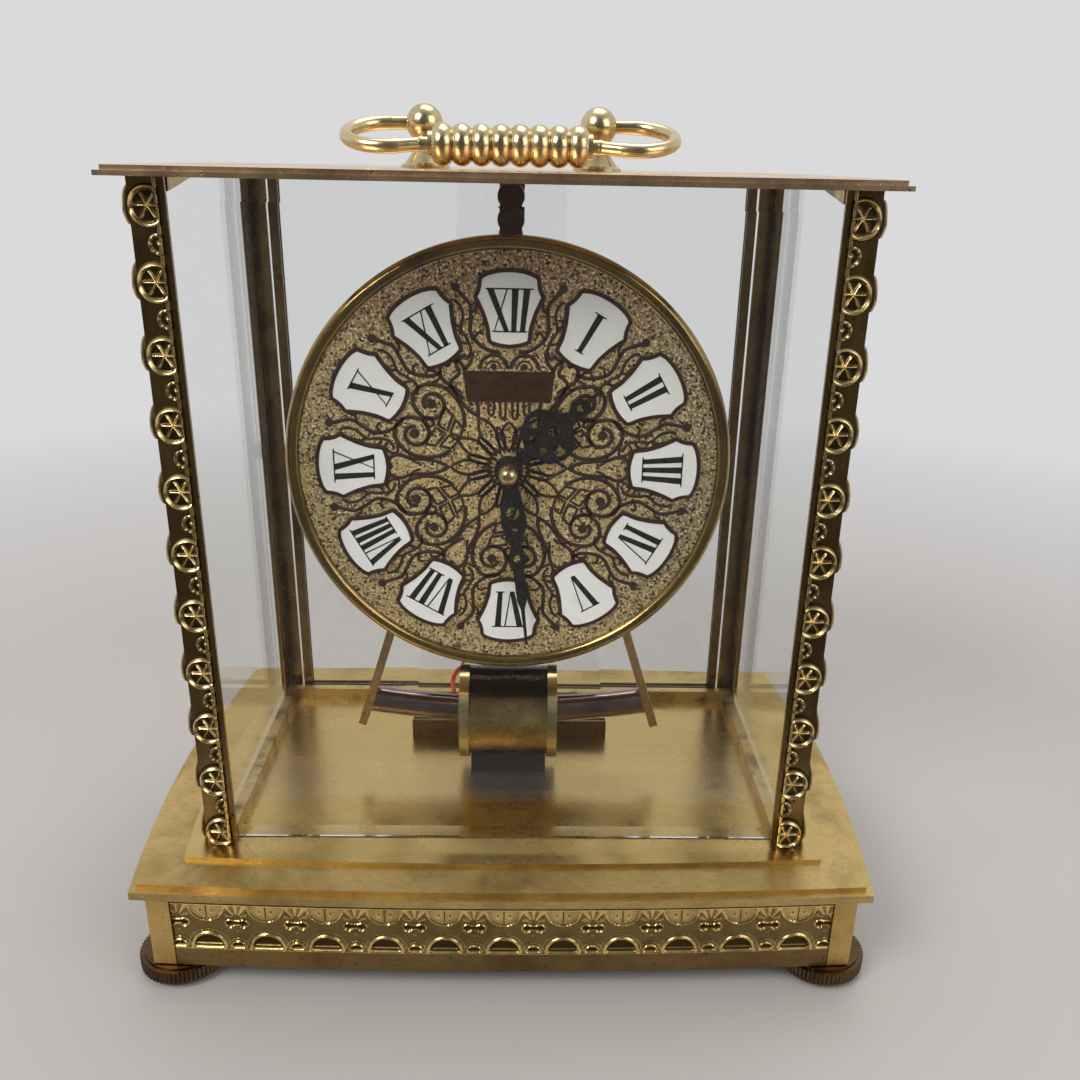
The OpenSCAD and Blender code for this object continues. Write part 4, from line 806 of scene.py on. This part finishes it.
@dataclass
class Dial:
    """The dial: engraved lines, a bare name plate, enamel plaques in dark frames, and numerals."""

    hub_z: float = 152.5
    face_y: float = -24.5
    plaque_t: float = 0.5
    ring: float = 45.6
    plaque_w: float = 18.1
    plaque_h: float = 19.8
    line: float = 1.15
    fine: float = 0.8
    numerals: tuple[str, ...] = ("XII", "I", "II", "III", "IV", "V", "VI", "VII", "VIII", "IX", "X", "XI")
    numeral_high: float = 5.6
    numeral_low: float = -6.4
    numeral_room: float = 13.1
    thick: float = 1.9
    thin: float = 0.45
    hair: float = 0.4
    fan: float = 0.74
    plate: tuple[tuple[float, float], ...] = ((-11.9, 19.7), (11.9, 19.7), (12.7, 28.0), (-12.7, 28.0))
    lines: Surface = field(default_factory=Surface)

    def at(self, flat: Array, out: Array | float) -> Array:
        """Points on the dial: across and up from the hub, and out from the face towards the front."""
        return np.stack([flat[..., 0], self.face_y - out + flat[..., 0] * 0, self.hub_z + flat[..., 1]], -1)

    def ribbon(self, surface: Surface, path: Array, width: float, out: float = 0.14,
               loop: bool = False) -> None:
        """Adds a raised line along a path: a low flat-topped ridge, square to the path everywhere.

        Args:
            surface: Where it goes.
            path: Points across and up from the hub.
            width: Width at the foot.
            out: Height of its top above the dial's face.
            loop: Whether the path is closed.
        """
        slope = np.roll(path, -1, axis=0) - np.roll(path, 1, axis=0) if loop else np.gradient(path, axis=0)
        slope /= np.linalg.norm(slope, axis=1, keepdims=True) + 1e-9
        side = np.stack([-slope[:, 1], slope[:, 0]], -1)
        offsets = np.array([-0.5, -0.38, 0.38, 0.5]) * width
        flat = path[:, None, :] + side[:, None, :] * offsets[None, :, None]
        heights = np.broadcast_to(np.array([0.0, out, out, 0.0]), flat.shape[:2])
        surface.grid(self.at(flat, heights), loop=loop, caps=not loop)

    def slab(self, surface: Surface, outline: Array, low: float, out: float) -> None:
        """Adds a flat plate with that outline, from one height above the face to another.

        Args:
            surface: Where it goes.
            outline: Points across and up from the hub.
            low: Height of its back.
            out: Height of its front.
        """
        flat = np.broadcast_to(outline, (2, *outline.shape))
        surface.grid(self.at(flat, np.array([[low], [out]])), caps=True)

    def dot(self, beside: tuple[float, float], hour: float, radius: float) -> None:
        """Adds a round dot, a flat disc, at a point given beside an hour's axis."""
        turn = np.linspace(0, 2 * math.pi, 20, endpoint=False)
        self.slab(self.lines, on_axis(np.array(beside) + radius * circle(turn), hour), 0.0, 0.2)

    def stroke(self, knots: list[tuple[float, float]], hour: float, width: float = 0.0, mirror: bool = False,
               loop: bool = False) -> None:
        """Adds a smooth engraved line through knots given beside an hour's axis.

        Args:
            knots: Pairs of distance across the axis and distance out along it.
            hour: Direction of the axis in hours.
            width: Width of the line; 0 stands for the usual width.
            mirror: Whether it lies on the other side of the axis.
            loop: Whether its end meets its start.
        """
        path = on_axis(smooth_path(np.array(knots, dtype=float) * ([-1, 1] if mirror else [1, 1]), 7), hour)
        self.ribbon(self.lines, path[:-1] if loop else path, width or self.line, loop=loop)

    def petal(self, hour: float, start: float, end: float, half: float, width: float = 0.0) -> None:
        """Adds a pointed petal's outline: its half width is a sine along its length, fullest past the middle.

        Args:
            hour: Direction in hours.
            start: Distance of its inner point from the hub.
            end: Distance of its outer point.
            half: Largest half width.
            width: Width of the line.
        """
        t = np.linspace(0, 1, 15)
        bulge = half * np.sin(math.pi * t**1.25) ** 0.85
        along = start + (end - start) * t
        knots = np.concatenate([np.stack([bulge, along], -1), np.stack([-bulge, along], -1)[::-1][1:]])
        self.ribbon(self.lines, on_axis(knots, hour)[:-1], width or self.line, loop=True)

    def scroll(self, hour: float, mirror: bool) -> None:
        """Adds half of a scroll pair: a volute that unwinds into a wide sweep back to the petals.

        The volute is a spiral round an eye: its radius grows evenly with its turn.

        Args:
            hour: Direction of the pair's axis in hours.
            mirror: Which half.
        """
        eye = np.array([5.0, 28.6])
        turn = np.linspace(2.9 * math.pi, 1.0 * math.pi, 17)
        radius = 1.9 + 2.7 * (turn[0] - turn) / (turn[0] - turn[-1])
        curl = eye + radius[:, None] * circle(turn)
        sweep = [(1.7, 32.2), (4.7, 34.3), (8.6, 33.2), (10.9, 28.4), (10.2, 23.6), (7.6, 19.6), (3.9, 17.0)]
        self.stroke([tuple(point) for point in curl] + sweep, hour, 1.25, mirror)
        for hook in ([(10.4, 31.4), (12.6, 30.2), (13.6, 32.0), (12.9, 34.0), (11.3, 34.0)],
                     [(10.9, 27.4), (12.5, 25.4), (12.3, 22.8)]):
            self.stroke(hook, hour, self.fine, mirror)
        self.dot((-eye[0] if mirror else eye[0], eye[1]), hour, 1.4)

    def windows(self, hour: float) -> None:
        """Adds the four slanting windows between the petals and a scroll pair.

        Args:
            hour: Direction of the axis in hours.
        """
        for side in (-1, 1):
            for low, far in ((16.6, 3.6), (20.9, 5.2)):
                corners = np.array([(0.5, low), (0.5, low + 3.2), (far + 1.0, low + 3.9), (far, low + 0.8)])
                path = fill_in(corners * [side, 1], 4)
                self.ribbon(self.lines, on_axis(path, hour), 0.85, loop=True)
        self.stroke([(0, 24.9), (1.4, 26.6), (0, 28.6), (-1.4, 26.6), (0, 24.9)], hour, self.fine, loop=True)

    def vine(self, hour: float, mirror: bool) -> None:
        """Adds the double flourish between two plaques, with leaf hooks and a dot at its end.

        Args:
            hour: Direction of its axis in hours.
            mirror: Whether it leans the other way.
        """
        main = [(-6.2, 33.2), (-3.6, 34.2), (-1.0, 36.8), (0.4, 40.2), (-0.6, 44.0), (-1.5, 47.4),
                (-0.4, 50.2), (1.0, 52.8)]
        self.stroke(main, hour, self.line, mirror)
        second = [(3.6, 33.4), (1.6, 35.6), (1.9, 39.2), (2.7, 42.0), (1.2, 45.4), (1.3, 48.4), (2.4, 50.0)]
        self.stroke(second, hour, 0.9, mirror)
        for leaf in ([(0.2, 38.2), (-1.5, 39.8), (-3.0, 39.2)], [(2.1, 37.6), (3.7, 38.6), (4.2, 40.8)],
                     [(-1.0, 45.6), (-2.6, 46.2), (-3.2, 48.2)], [(2.6, 42.4), (3.9, 43.6), (3.7, 45.6)]):
            self.stroke(leaf, hour, self.fine, mirror)
        self.dot((-1.1 if mirror else 1.1, 53.3), hour, 1.25)

    def engrave(self, material: Any) -> None:
        """Draws all the engraved lines of the dial.

        Args:
            material: Their dark finish.
        """
        for hour in range(12):
            self.petal(hour, 4.8, 13.6 if hour == 0 else 17.0, 2.2, 0.95)
            self.petal(hour + 0.5, 5.0, 12.6, 1.1, self.fine)
            self.vine(hour + 0.5, hour in (3, 4, 5, 9, 10, 11))
        spindle = [(0.0, 17.6), (1.5, 20.6), (2.2, 24.6), (2.4, 28.6), (3.5, 31.8), (2.7, 34.5), (1.0, 35.2),
                   (0.0, 34.4)]
        for hour in (1, 3, 5, 7, 9, 11):
            self.stroke(spindle + [(-a, r) for a, r in spindle[-2::-1]], hour, loop=True)
        for hour in (2, 4, 6, 8, 10):
            self.windows(hour)
            for mirror in (False, True):
                self.scroll(hour, mirror)
        for x in (-5.1, -1.75, 1.75, 5.1):
            foot = 15.6 if abs(x) > 4 else 14.6
            drop = [(x - 0.8, 19.6), (x - 0.7, foot + 0.8), (x, foot), (x + 0.7, foot + 0.8), (x + 0.8, 19.6)]
            self.stroke(drop, 0, self.fine)
        for s in (-1, 1):
            turn = np.linspace(0, math.pi, 25)
            for radius, width in ((3.9, self.line), (2.2, 0.5)):
                self.ribbon(self.lines, np.array([s * 4.4, 28.9]) + radius * circle(turn), width)
            self.dot((s * 4.4, 29.5), 0, 0.9)
            for curve in ([(12.9, 20.4), (15.3, 22.2), (16.6, 25.0), (14.2, 27.6), (15.0, 30.6),
                           (12.2, 32.8)], [(12.6, 28.6), (11.0, 30.6), (10.2, 33.6)]):
                self.stroke(curve, 0, self.line, s < 0)
        self.lines.piece("dial_engraving", "case", Slot.DARK_METAL, material, crease=55)

    def name_plate(self, material: Any, frame: Any) -> None:
        """Lays the bare name plate above the rosette, with its frame line.

        Args:
            material: The plate's finish.
            frame: The finish of its frame line.
        """
        plate, rim = Surface(), Surface()
        outline = np.array(self.plate)
        self.slab(plate, outline, 0.0, 0.22)
        self.ribbon(rim, fill_in(outline, 8), 0.6, 0.3, True)
        plate.piece("name_plate", "case", Slot.DIAL_GOLD, material)
        rim.piece("name_plate_frame", "case", Slot.DARK_METAL, frame)

    def plaque_outline(self) -> Array:
        """A plaque's outline about its centre, in shares of its half width and half height.

        The foot is slightly bowed, the sides are hollow and end in ears, and the crown is an arch.

        Returns:
            Points across and up, the top one away from the hub.
        """
        right = np.array([[0, -1], [0.3, -0.965], [0.59, -0.885], [0.63, -0.51], [0.76, -0.135], [0.95, 0.24],
                          [1, 0.29], [0.905, 0.465], [0.865, 0.62], [0.85, 0.8], [0.66, 0.9], [0.44, 0.958],
                          [0.22, 0.99], [0, 1]])
        whole = np.concatenate([right, right[-2:0:-1] * [-1, 1]])
        return whole * [self.plaque_w / 2, self.plaque_h / 2]

    def on_hour(self, flat: Array, hour: int) -> Array:
        """Moves points about a plaque's centre to that hour's plaque."""
        return on_axis(flat + [0, self.ring], hour)

    def frames(self, material: Any) -> None:
        """Lays the dark frame line round every plaque: its outline, a little larger, corners eased.

        Args:
            material: Its finish.
        """
        surface = Surface()
        path = fill_in(self.plaque_outline(), 4)
        path = (np.roll(path, 1, axis=0) + 2 * path + np.roll(path, -1, axis=0)) / 4
        for hour in range(12):
            self.ribbon(surface, self.on_hour(path * 1.045, hour), 1.35, self.plaque_t + 0.12, True)
        surface.piece("plaque_frames", "case", Slot.DARK_METAL, material, crease=60)

    def bar(self, surface: Surface, hour: int, top: float, foot: float, width: float, high: float,
            low: float) -> None:
        """Adds one stroke of a numeral, cut level at both ends and drawn in towards the hub.

        Args:
            surface: Where it goes.
            hour: The plaque's hour.
            top: Where its upper end lies across, as at the numeral's outer edge.
            foot: Where its lower end lies across, as at the numeral's outer edge.
            width: Width across, as at the numeral's outer edge.
            high: Height of its upper end.
            low: Height of its lower end.
        """
        half = width / 2
        corners = np.array([[top - half, high], [foot - half, low], [foot + half, low], [top + half, high]])
        share = (corners[:, 1:] - self.numeral_low) / (self.numeral_high - self.numeral_low)
        corners[:, :1] *= self.fan + (1 - self.fan) * share
        self.slab(surface, self.on_hour(corners, hour), self.plaque_t, self.plaque_t + 0.05)

    def numeral(self, surface: Surface, hour: int, text: str) -> None:
        """Draws one numeral from thick and thin strokes joined by hairline serifs.

        Each letter has a width and strokes from its top to its foot; the letters stand side by side
        about the middle, squeezed where they would be wider than the plaque.

        Args:
            surface: Where it goes.
            hour: The plaque's hour.
            text: The numeral.
        """
        wide = {"I": 3.3, "V": 6.4, "X": 6.6}
        total = sum(wide[letter] for letter in text)
        squeeze = min(1.0, self.numeral_room / total)
        high, low, thin, hair = self.numeral_high, self.numeral_low, self.thin, self.hair
        thick = self.thick * min(1.0, squeeze + 0.12)
        left = -total * squeeze / 2
        for letter in text:
            run = wide[letter] * squeeze
            right = left + run
            middle = (left + right) / 2
            a, b = left + thick * 0.62, right - thin * 1.2
            if letter == "I":
                self.bar(surface, hour, middle, middle, thick, high, low)
                self.bar(surface, hour, middle, middle, run + 0.3, low + hair, low)
            elif letter == "V":
                self.bar(surface, hour, a, middle, thick, high, low)
                self.bar(surface, hour, b, middle + thick * 0.3, thin, high, low)
            else:
                self.bar(surface, hour, a, b - thick * 0.2, thick, high, low)
                self.bar(surface, hour, b, a - thick * 0.2, thin, high, low)
                self.bar(surface, hour, middle, middle, run - 0.2, low + hair, low)
            left = right
        self.bar(surface, hour, 0, 0, total * squeeze + 0.3, high, high - hair)

    def build(self, engraving: Any, plate: Any, frame: Any, ink: Any) -> None:
        """Makes everything that lies on the dial.

        Args:
            engraving: Finish of the engraved lines.
            plate: Finish of the name plate.
            frame: Finish of the plaques' frames.
            ink: Finish of the numerals.
        """
        self.engrave(engraving)
        self.name_plate(plate, engraving)
        self.frames(frame)
        surface = Surface()
        for hour, text in enumerate(self.numerals):
            self.numeral(surface, hour, text)
        surface.piece("numerals", "case", Slot.BLACK_LACQUER, ink, crease=30)


@dataclass
class Lead:
    """The red lead from the battery holder's screw to the coil, a round tube along a given route."""

    radius: float = 0.8
    route: tuple[Triple, ...] = ((-20, 13.8, 84.5), (-20, 12, 84.5), (-16.4, 11.6, 77), (-16, 12.2, 70),
                                 (-18.6, 10.4, 67.8), (-19.8, 6.6, 66.2), (-19.3, 4.4, 62.6),
                                 (-18.1, 5.2, 60.6), (-16.3, 5.2, 60.6))

    def path(self) -> Array:
        """The route's smooth curve with straight stretches at both ends, in millimetres."""
        curve = smooth_path(np.array(self.route, dtype=float), 4)
        return np.concatenate([curve[:1], curve[4:-4], curve[-1:]])

    def build(self, material: Any) -> None:
        """Args:
            material: Its insulation.
        """
        path = self.path()
        along = np.gradient(path, axis=0)
        along /= np.linalg.norm(along, axis=1, keepdims=True)
        side = np.empty_like(along)
        last = np.array([1.0, 0.0, 0.0])
        for i, ahead in enumerate(along):
            last = last - ahead * (last @ ahead)
            last /= np.linalg.norm(last)
            side[i] = last
        up = np.cross(side, along)
        turn = np.linspace(0, 2 * math.pi, 16, endpoint=False)[None, :, None]
        circle = np.cos(turn) * side[:, None, :] + np.sin(turn) * up[:, None, :]
        surface = Surface()
        surface.grid(path[:, None, :] + self.radius * circle, caps=True)
        tube = surface.piece("lead_insulation", "case", Slot.RED_INSULATION, material, ("red_lead",),
                             crease=60)


FINISHES: dict[str, Any] = {
    "lid": Metal("lid brass", (0.66, 0.48, 0.19), (0.34, 0.22, 0.08), (0.34, 0.5), 45,
                 grain=1100, stretch=(0.35, 1.0, 1.0), grain_depth=0.05, pits=0.04, pit_scale=1300,
                 sparkle=0.12),
    "post": Metal("post brass", (0.66, 0.45, 0.16), (0.40, 0.25, 0.08), (0.36, 0.52), 60,
                  grain=1600, grain_depth=0.04, pits=0.05, pit_scale=1300, sparkle=0.12),
    "floor": Metal("floor brass", (0.68, 0.50, 0.20), (0.56, 0.39, 0.14), (0.2, 0.32), 22,
                   grain=420, stretch=(0.03, 1.0, 1.0), grain_depth=0.012, pits=0.02, pit_scale=900),
    "rail": Metal("rail brass", (0.26, 0.17, 0.065), (0.13, 0.08, 0.035), (0.28, 0.42), 50,
                  grain=900, stretch=(0.1, 0.1, 1.0), pits=0.06, pit_scale=900),
    "shell": Metal("shell brass", (0.26, 0.17, 0.09), (0.12, 0.08, 0.05), (0.4, 0.6), 60),
    "plate": Metal("bottom plate", (0.24, 0.20, 0.16), (0.13, 0.09, 0.07), (0.4, 0.6), 40,
                   grain=700, stretch=(0.1, 1.0, 1.0)),
    "relief": Metal("relief brass", (0.96, 0.72, 0.28), (0.52, 0.34, 0.12), (0.16, 0.32), 120,
                    grain=2400, relief=True),
    "medallion": Metal("medallion brass", (0.92, 0.72, 0.34), (0.46, 0.31, 0.14), (0.16, 0.32), 150,
                       grain=2400, relief=True),
    "column": Metal("column bronze", (0.34, 0.22, 0.09), (0.15, 0.09, 0.04), (0.18, 0.34), 40,
                    grain=900, stretch=(1.0, 1.0, 0.06), grain_depth=0.01, pits=0.05, pit_scale=700),
    "rear": Metal("rear bronze", (0.38, 0.26, 0.13), (0.20, 0.125, 0.06), (0.2, 0.36), 40,
                  grain=900, stretch=(1.0, 1.0, 0.06), grain_depth=0.01),
    "roof": Metal("roof bronze", (0.92, 0.66, 0.40), (0.46, 0.29, 0.17), (0.2, 0.36), 35,
                  grain=700, stretch=(0.04, 0.3, 1.0), grain_depth=0.02, pits=0.05, pit_scale=800),
    "channel": Metal("channel brass", (0.62, 0.46, 0.20), (0.24, 0.16, 0.08), (0.25, 0.45), 70,
                     tarnished=(0.5, 0.62), grain=700, stretch=(0.05, 1.0, 1.0)),
    "door": Metal("door bronze", (0.28, 0.19, 0.09), (0.12, 0.075, 0.035), (0.22, 0.38), 50,
                  grain=800, stretch=(0.2, 1.0, 0.2)),
    "handle": Metal("handle brass", (0.76, 0.63, 0.37), (0.50, 0.38, 0.19), (0.16, 0.3), 90,
                    grain=1800, grain_depth=0.008, pits=0.03, pit_scale=900),
    "bezel": Metal("bezel brass", (0.46, 0.32, 0.11), (0.14, 0.08, 0.035), (0.1, 0.24), 45,
                   grain=1500, grain_depth=0.008, pits=0.03, pit_scale=900),
    "name": Metal("name plate brass", (0.17, 0.095, 0.05), (0.09, 0.045, 0.025), (0.34, 0.5), 250,
                  grain=2200, grain_depth=0.05),
    "works": Metal("movement brass", (0.76, 0.58, 0.28), (0.56, 0.39, 0.17), (0.2, 0.34), 60,
                   grain=1200, stretch=(1.0, 1.0, 0.1)),
    "dark": Metal("dark metal", (0.070, 0.050, 0.035), (0.035, 0.024, 0.018), (0.25, 0.45), 90),
    "hanger": Metal("hanger bronze", (0.17, 0.10, 0.07), (0.09, 0.05, 0.035), (0.25, 0.4), 120),
    "steel": Metal("bright steel", (0.72, 0.71, 0.70), (0.50, 0.48, 0.45), (0.1, 0.24), 120),
    "foot": Metal("foot bronze", (0.16, 0.10, 0.05), (0.06, 0.035, 0.02), (0.24, 0.42), 80,
                  grain=1300, pits=0.08, pit_scale=900),
    "leg": Metal("leg copper", (0.70, 0.47, 0.24), (0.42, 0.25, 0.12), (0.2, 0.34), 70,
                 grain=1400, stretch=(1.0, 1.0, 0.1)),
    "magnet": Metal("magnet steel", (0.36, 0.28, 0.27), (0.17, 0.125, 0.12), (0.07, 0.18), 70,
                    grain=900, stretch=(0.08, 1.0, 1.0), grain_depth=0.006),
    # bright paints the cover's reflection: near black above and below a band round the coil's middle.
    "cover": Metal("cover brass", (0.66, 0.48, 0.19), (0.30, 0.19, 0.07), (0.2, 0.34), 60,
                   grain=900, stretch=(0.06, 1.0, 1.0), grain_depth=0.02,
                   bright=(0.046, 0.054, 0.064, 0.071)),
    "flange": Metal("flange brass", (0.86, 0.74, 0.40), (0.62, 0.48, 0.22), (0.12, 0.24), 80),
    "enamel": Coat("plaque enamel", (0.93, 0.92, 0.87), (0.89, 0.88, 0.82), (0.14, 0.24), 90, 500, 0.006,
                   0.5),
    "lacquer": Coat("hand lacquer", (0.010, 0.009, 0.009), (0.020, 0.018, 0.016), (0.2, 0.34), 200, 1500,
                    0.01,
                    0.4),
    "ink": Coat("numeral black", (0.012, 0.011, 0.012), (0.022, 0.020, 0.020), (0.25, 0.4), 200),
    "line": Coat("engraved line", (0.028, 0.011, 0.005), (0.055, 0.022, 0.010), (0.4, 0.6), 200, 2000, 0.03),
    "frame": Coat("plaque frame", (0.026, 0.010, 0.005), (0.050, 0.020, 0.010), (0.3, 0.5), 200, 2000,
                  0.02, 0.2),
    "plastic": Coat("black plastic", (0.018, 0.018, 0.019), (0.030, 0.030, 0.031), (0.35, 0.5), 80, 1400,
                    0.02),
    "jacket": Coat("battery jacket", (0.10, 0.11, 0.13), (0.14, 0.15, 0.17), (0.25, 0.35), 50, 900, 0.006,
                   0.3),
    "insulation": Coat("red insulation", (0.78, 0.085, 0.04), (0.62, 0.06, 0.03), (0.3, 0.45), 120),
    "glass": Clear("clear glass", (0.985, 0.995, 0.99), 1.5, 0.03),
    "acrylic": Clear("clear acrylic", (0.98, 0.985, 0.99), 1.49, 0.04),
    "wire": Winding("wound wire"),
    "ground": DialGround(),
}

CORNERS = ("front_left", "front_right", "rear_left", "rear_right")
NODES: dict[str, tuple[str, ...]] = {
    "lid": ("base_lid",),
    "post": ("base_corner_posts",),
    "floor": ("cage_floor",),
    "rail": ("base_lower_rails", "carrier_channel"),
    "shell": ("base_shell",),
    "plate": ("base_bottom_plate",),
    "relief": ("base_gallery_strips",),
    "medallion": ("column_ornament",),
    "column": ("front_columns",),
    "rear": ("rear_columns",),
    "roof": ("roof",),
    "channel": ("glass_channels",),
    "door": ("door_frame", "door_knob"),
    "handle": ("handle_posts", "handle_bail", "handle_grip", "hand_nut"),
    "bezel": ("dial_bezel",),
    "ground": ("dial_face",),
    "enamel": ("numeral_plaques",),
    "lacquer": ("minute_hand", "hour_hand"),
    "works": ("hour_wheel", "minute_wheel", "setting_knob", "movement_front_plate", "movement_rear_plate",
              "movement_pillars", "centre_wheel", "third_wheel", "count_wheel"),
    "steel": ("setting_shaft", "suspension_spring", *(f"foot_stud_{corner}" for corner in CORNERS),
              "driving_pawl", "crutch"),
    "foot": tuple(f"foot_disc_{corner}" for corner in CORNERS),
    "dark": ("suspension_bracket", "coil_saddle"),
    "hanger": ("pendulum_hanger",),
    "leg": ("pendulum_legs",),
    "magnet": ("magnet_bar",),
    "cover": ("coil_cover",),
    "flange": ("coil_bobbin",),
    "wire": ("coil_winding",),
    "glass": ("front_glass", "side_glasses", "door_glass"),
    "acrylic": ("carrier_plate",),
    "insulation": ("red_lead",),
    "plastic": ("battery_holder",),
    "jacket": ("battery",),
}


class Dresser:
    """Gives the frame's own parts their finishes, one material for each finish."""

    def __init__(self, nodes: dict[str, Any]) -> None:
        """Keeps the frame's nodes.

        Args:
            nodes: Node name to object.
        """
        self.nodes = nodes
        self.made: dict[str, Any] = {}

    def finish(self, key: str) -> Any:
        """The material of a finish, made when first asked for."""
        if key not in self.made:
            self.made[key] = FINISHES[key].material()
        return self.made[key]

    def dress(self) -> None:
        """Puts every node's finish in its only material slot; glass lets the lamps' light through."""
        for key, names in NODES.items():
            for name in names:
                thing = self.nodes[name]
                thing.data.materials.clear()
                thing.data.materials.append(self.finish(key))
                if key in ("glass", "acrylic"):
                    thing.visible_shadow = False
                log.info("%s: %s", name, key)


@dataclass
class Studio:
    """A pale floor that fades into a pale background, soft lamps, and the photograph's camera."""

    wall: Colour = (0.70, 0.70, 0.71)
    ground: Colour = (0.50, 0.47, 0.44)
    room: Colour = (0.10, 0.095, 0.09)
    light: Colour = (0.52, 0.52, 0.54)
    camera_at: Triple = (0.00515, -0.32316, 0.23690)
    yaw: float = 0.0257474
    pitch: float = 0.3859639
    roll: float = -0.0207126
    focal: float = 1044.36
    middle: tuple[float, float] = (549.86, 583.16)
    image: float = 1080.0

    def world(self) -> None:
        """Lights the room softly: the rays that look, mirror or pass through see wall, floor and room."""
        world = bpy.data.worlds.new("room")
        bpy.context.scene.world = world
        shade = Shade(world, "ShaderNodeOutputWorld")
        front = shade.band(shade.axis(shade.where["Generated"], 1), -0.75, 0.1)
        light = shade.node("ShaderNodeBackground", {"Color": four(self.light)})
        seen = shade.node("ShaderNodeBackground", {"Color": shade.blend(front, self.room, self.wall)})
        share = shade.rays("Camera", "Glossy", "Transmission")
        shade.close(shade.node("ShaderNodeMixShader", {0: share, 1: light.outputs[0], 2: seen.outputs[0]}))

    def floor(self) -> None:
        """Lays the floor, a disc whose far part shows the wall's colour.

        Mirrors and panes see the strip just in front of the clock as the dark room.
        """
        turns, rings = 64, np.array([0.0, 0.3, 0.6, 1.2, 3.0, 8.0])
        turn = np.linspace(0, 2 * math.pi, turns, endpoint=False)
        points = np.stack([np.outer(np.cos(turn), rings), np.outer(np.sin(turn), rings),
                           np.full((turns, len(rings)), -0.0004)], -1).reshape(-1, 3)
        i, j = np.meshgrid(np.arange(turns), np.arange(len(rings) - 1), indexing="ij")
        n = len(rings)
        faces = np.stack([i * n + j, i * n + j + 1, (i + 1) % turns * n + j + 1, (i + 1) % turns * n + j], -1)
        mesh = bpy.data.meshes.new("studio_floor")
        mesh.from_pydata(points, [], faces.reshape(-1, 4).tolist())
        shade = Shade.named("studio floor")
        far = shade.band(shade.length(shade.place()), 0.28, 0.75)
        depth = shade.axis(shade.place(), 1)
        near = shade.node("ShaderNodeBsdfPrincipled", {"Base Color": four(self.ground), "Roughness": 0.55})
        seen = shade.rays("Camera", "Transmission")
        strip = shade.band(depth, -0.17, -0.1, 1.0, 0.0)
        close = shade.maths("MULTIPLY", strip, shade.rays("Glossy", "Transmission"))
        glow = shade.node("ShaderNodeEmission", {"Color": shade.blend(close, self.wall, self.room)})
        share = shade.maths("MAXIMUM", shade.maths("MULTIPLY", far, seen), close)
        mixed = shade.node("ShaderNodeMixShader", {0: share, 1: near.outputs[0], 2: glow.outputs[0]})
        mesh.materials.append(shade.close(mixed))
        thing = bpy.data.objects.new("studio_floor", mesh)
        bpy.context.scene.collection.objects.link(thing)

    def lamp(self, name: str, place: Triple, size: float, power: float, colour: Colour = (1, 1, 1)) -> None:
        """Hangs a square soft lamp that looks at the middle of the clock.

        Args:
            name: Its name.
            place: Where it hangs, in metres.
            size: Its edge, in metres.
            power: Its power in watts.
            colour: Its colour.
        """
        data = bpy.data.lights.new(name, "AREA")
        data.size, data.energy, data.color = size, power, colour
        thing = bpy.data.objects.new(name, data)
        thing.location = place
        aim = np.array([0, 0, 0.12]) - np.array(place)
        aim /= np.linalg.norm(aim)
        thing.rotation_euler = Vector(aim).to_track_quat("-Z", "Y").to_euler()
        bpy.context.scene.collection.objects.link(thing)

    def camera(self) -> None:
        """Sets up the camera from the direction, turn and focal length measured on the photograph."""
        sy, cy, sp, cp = math.sin(self.yaw), math.cos(self.yaw), math.sin(self.pitch), math.cos(self.pitch)
        ahead = np.array([sy * cp, cy * cp, -sp])
        right = np.array([cy, -sy, 0.0])
        down = np.cross(ahead, right)
        cr, sr = math.cos(self.roll), math.sin(self.roll)
        across, below = cr * right + sr * down, -sr * right + cr * down
        matrix = np.eye(4)
        matrix[:3, 0], matrix[:3, 1], matrix[:3, 2], matrix[:3, 3] = across, -below, -ahead, self.camera_at
        data = bpy.data.cameras.new("camera")
        data.sensor_width = 36.0
        data.lens = 36.0 * self.focal / self.image
        data.shift_x = (self.image / 2 - self.middle[0]) / self.image
        data.shift_y = (self.middle[1] - self.image / 2) / self.image
        data.clip_start = 0.01
        thing = bpy.data.objects.new("camera", data)
        thing.matrix_world = Matrix(matrix.tolist())
        bpy.context.scene.collection.objects.link(thing)
        bpy.context.scene.camera = thing

    def build(self) -> None:
        """Sets up the room, the floor, the lamps, the camera and the plain view."""
        self.world()
        self.floor()
        self.lamp("key", (-0.75, -0.75, 1.0), 0.6, 9.0)
        self.lamp("fill", (0.9, -0.7, 0.7), 0.8, 4.0)
        self.lamp("top", (0.1, 0.3, 1.2), 0.7, 4.0)
        self.camera()
        bpy.context.scene.view_settings.view_transform = "Standard"


def main() -> None:
    """Builds the scene: frame, finishes, relief, dial, lead and studio, in that order."""
    logging.basicConfig(level=logging.INFO, format="%(name)s: %(message)s")
    for thing in list(bpy.data.objects):
        bpy.data.objects.remove(thing, do_unlink=True)
    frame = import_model()
    dresser = Dresser(frame["nodes"])
    dresser.dress()
    Base().build(FINISHES["relief"].material())
    ColumnRelief().build(FINISHES["medallion"].material())
    Dial().build(*(dresser.finish(key) for key in ("line", "name", "frame", "ink")))
    Lead().build(FINISHES["insulation"].material())
    Studio().build()
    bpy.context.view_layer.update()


if __name__ == "__main__":
    main()
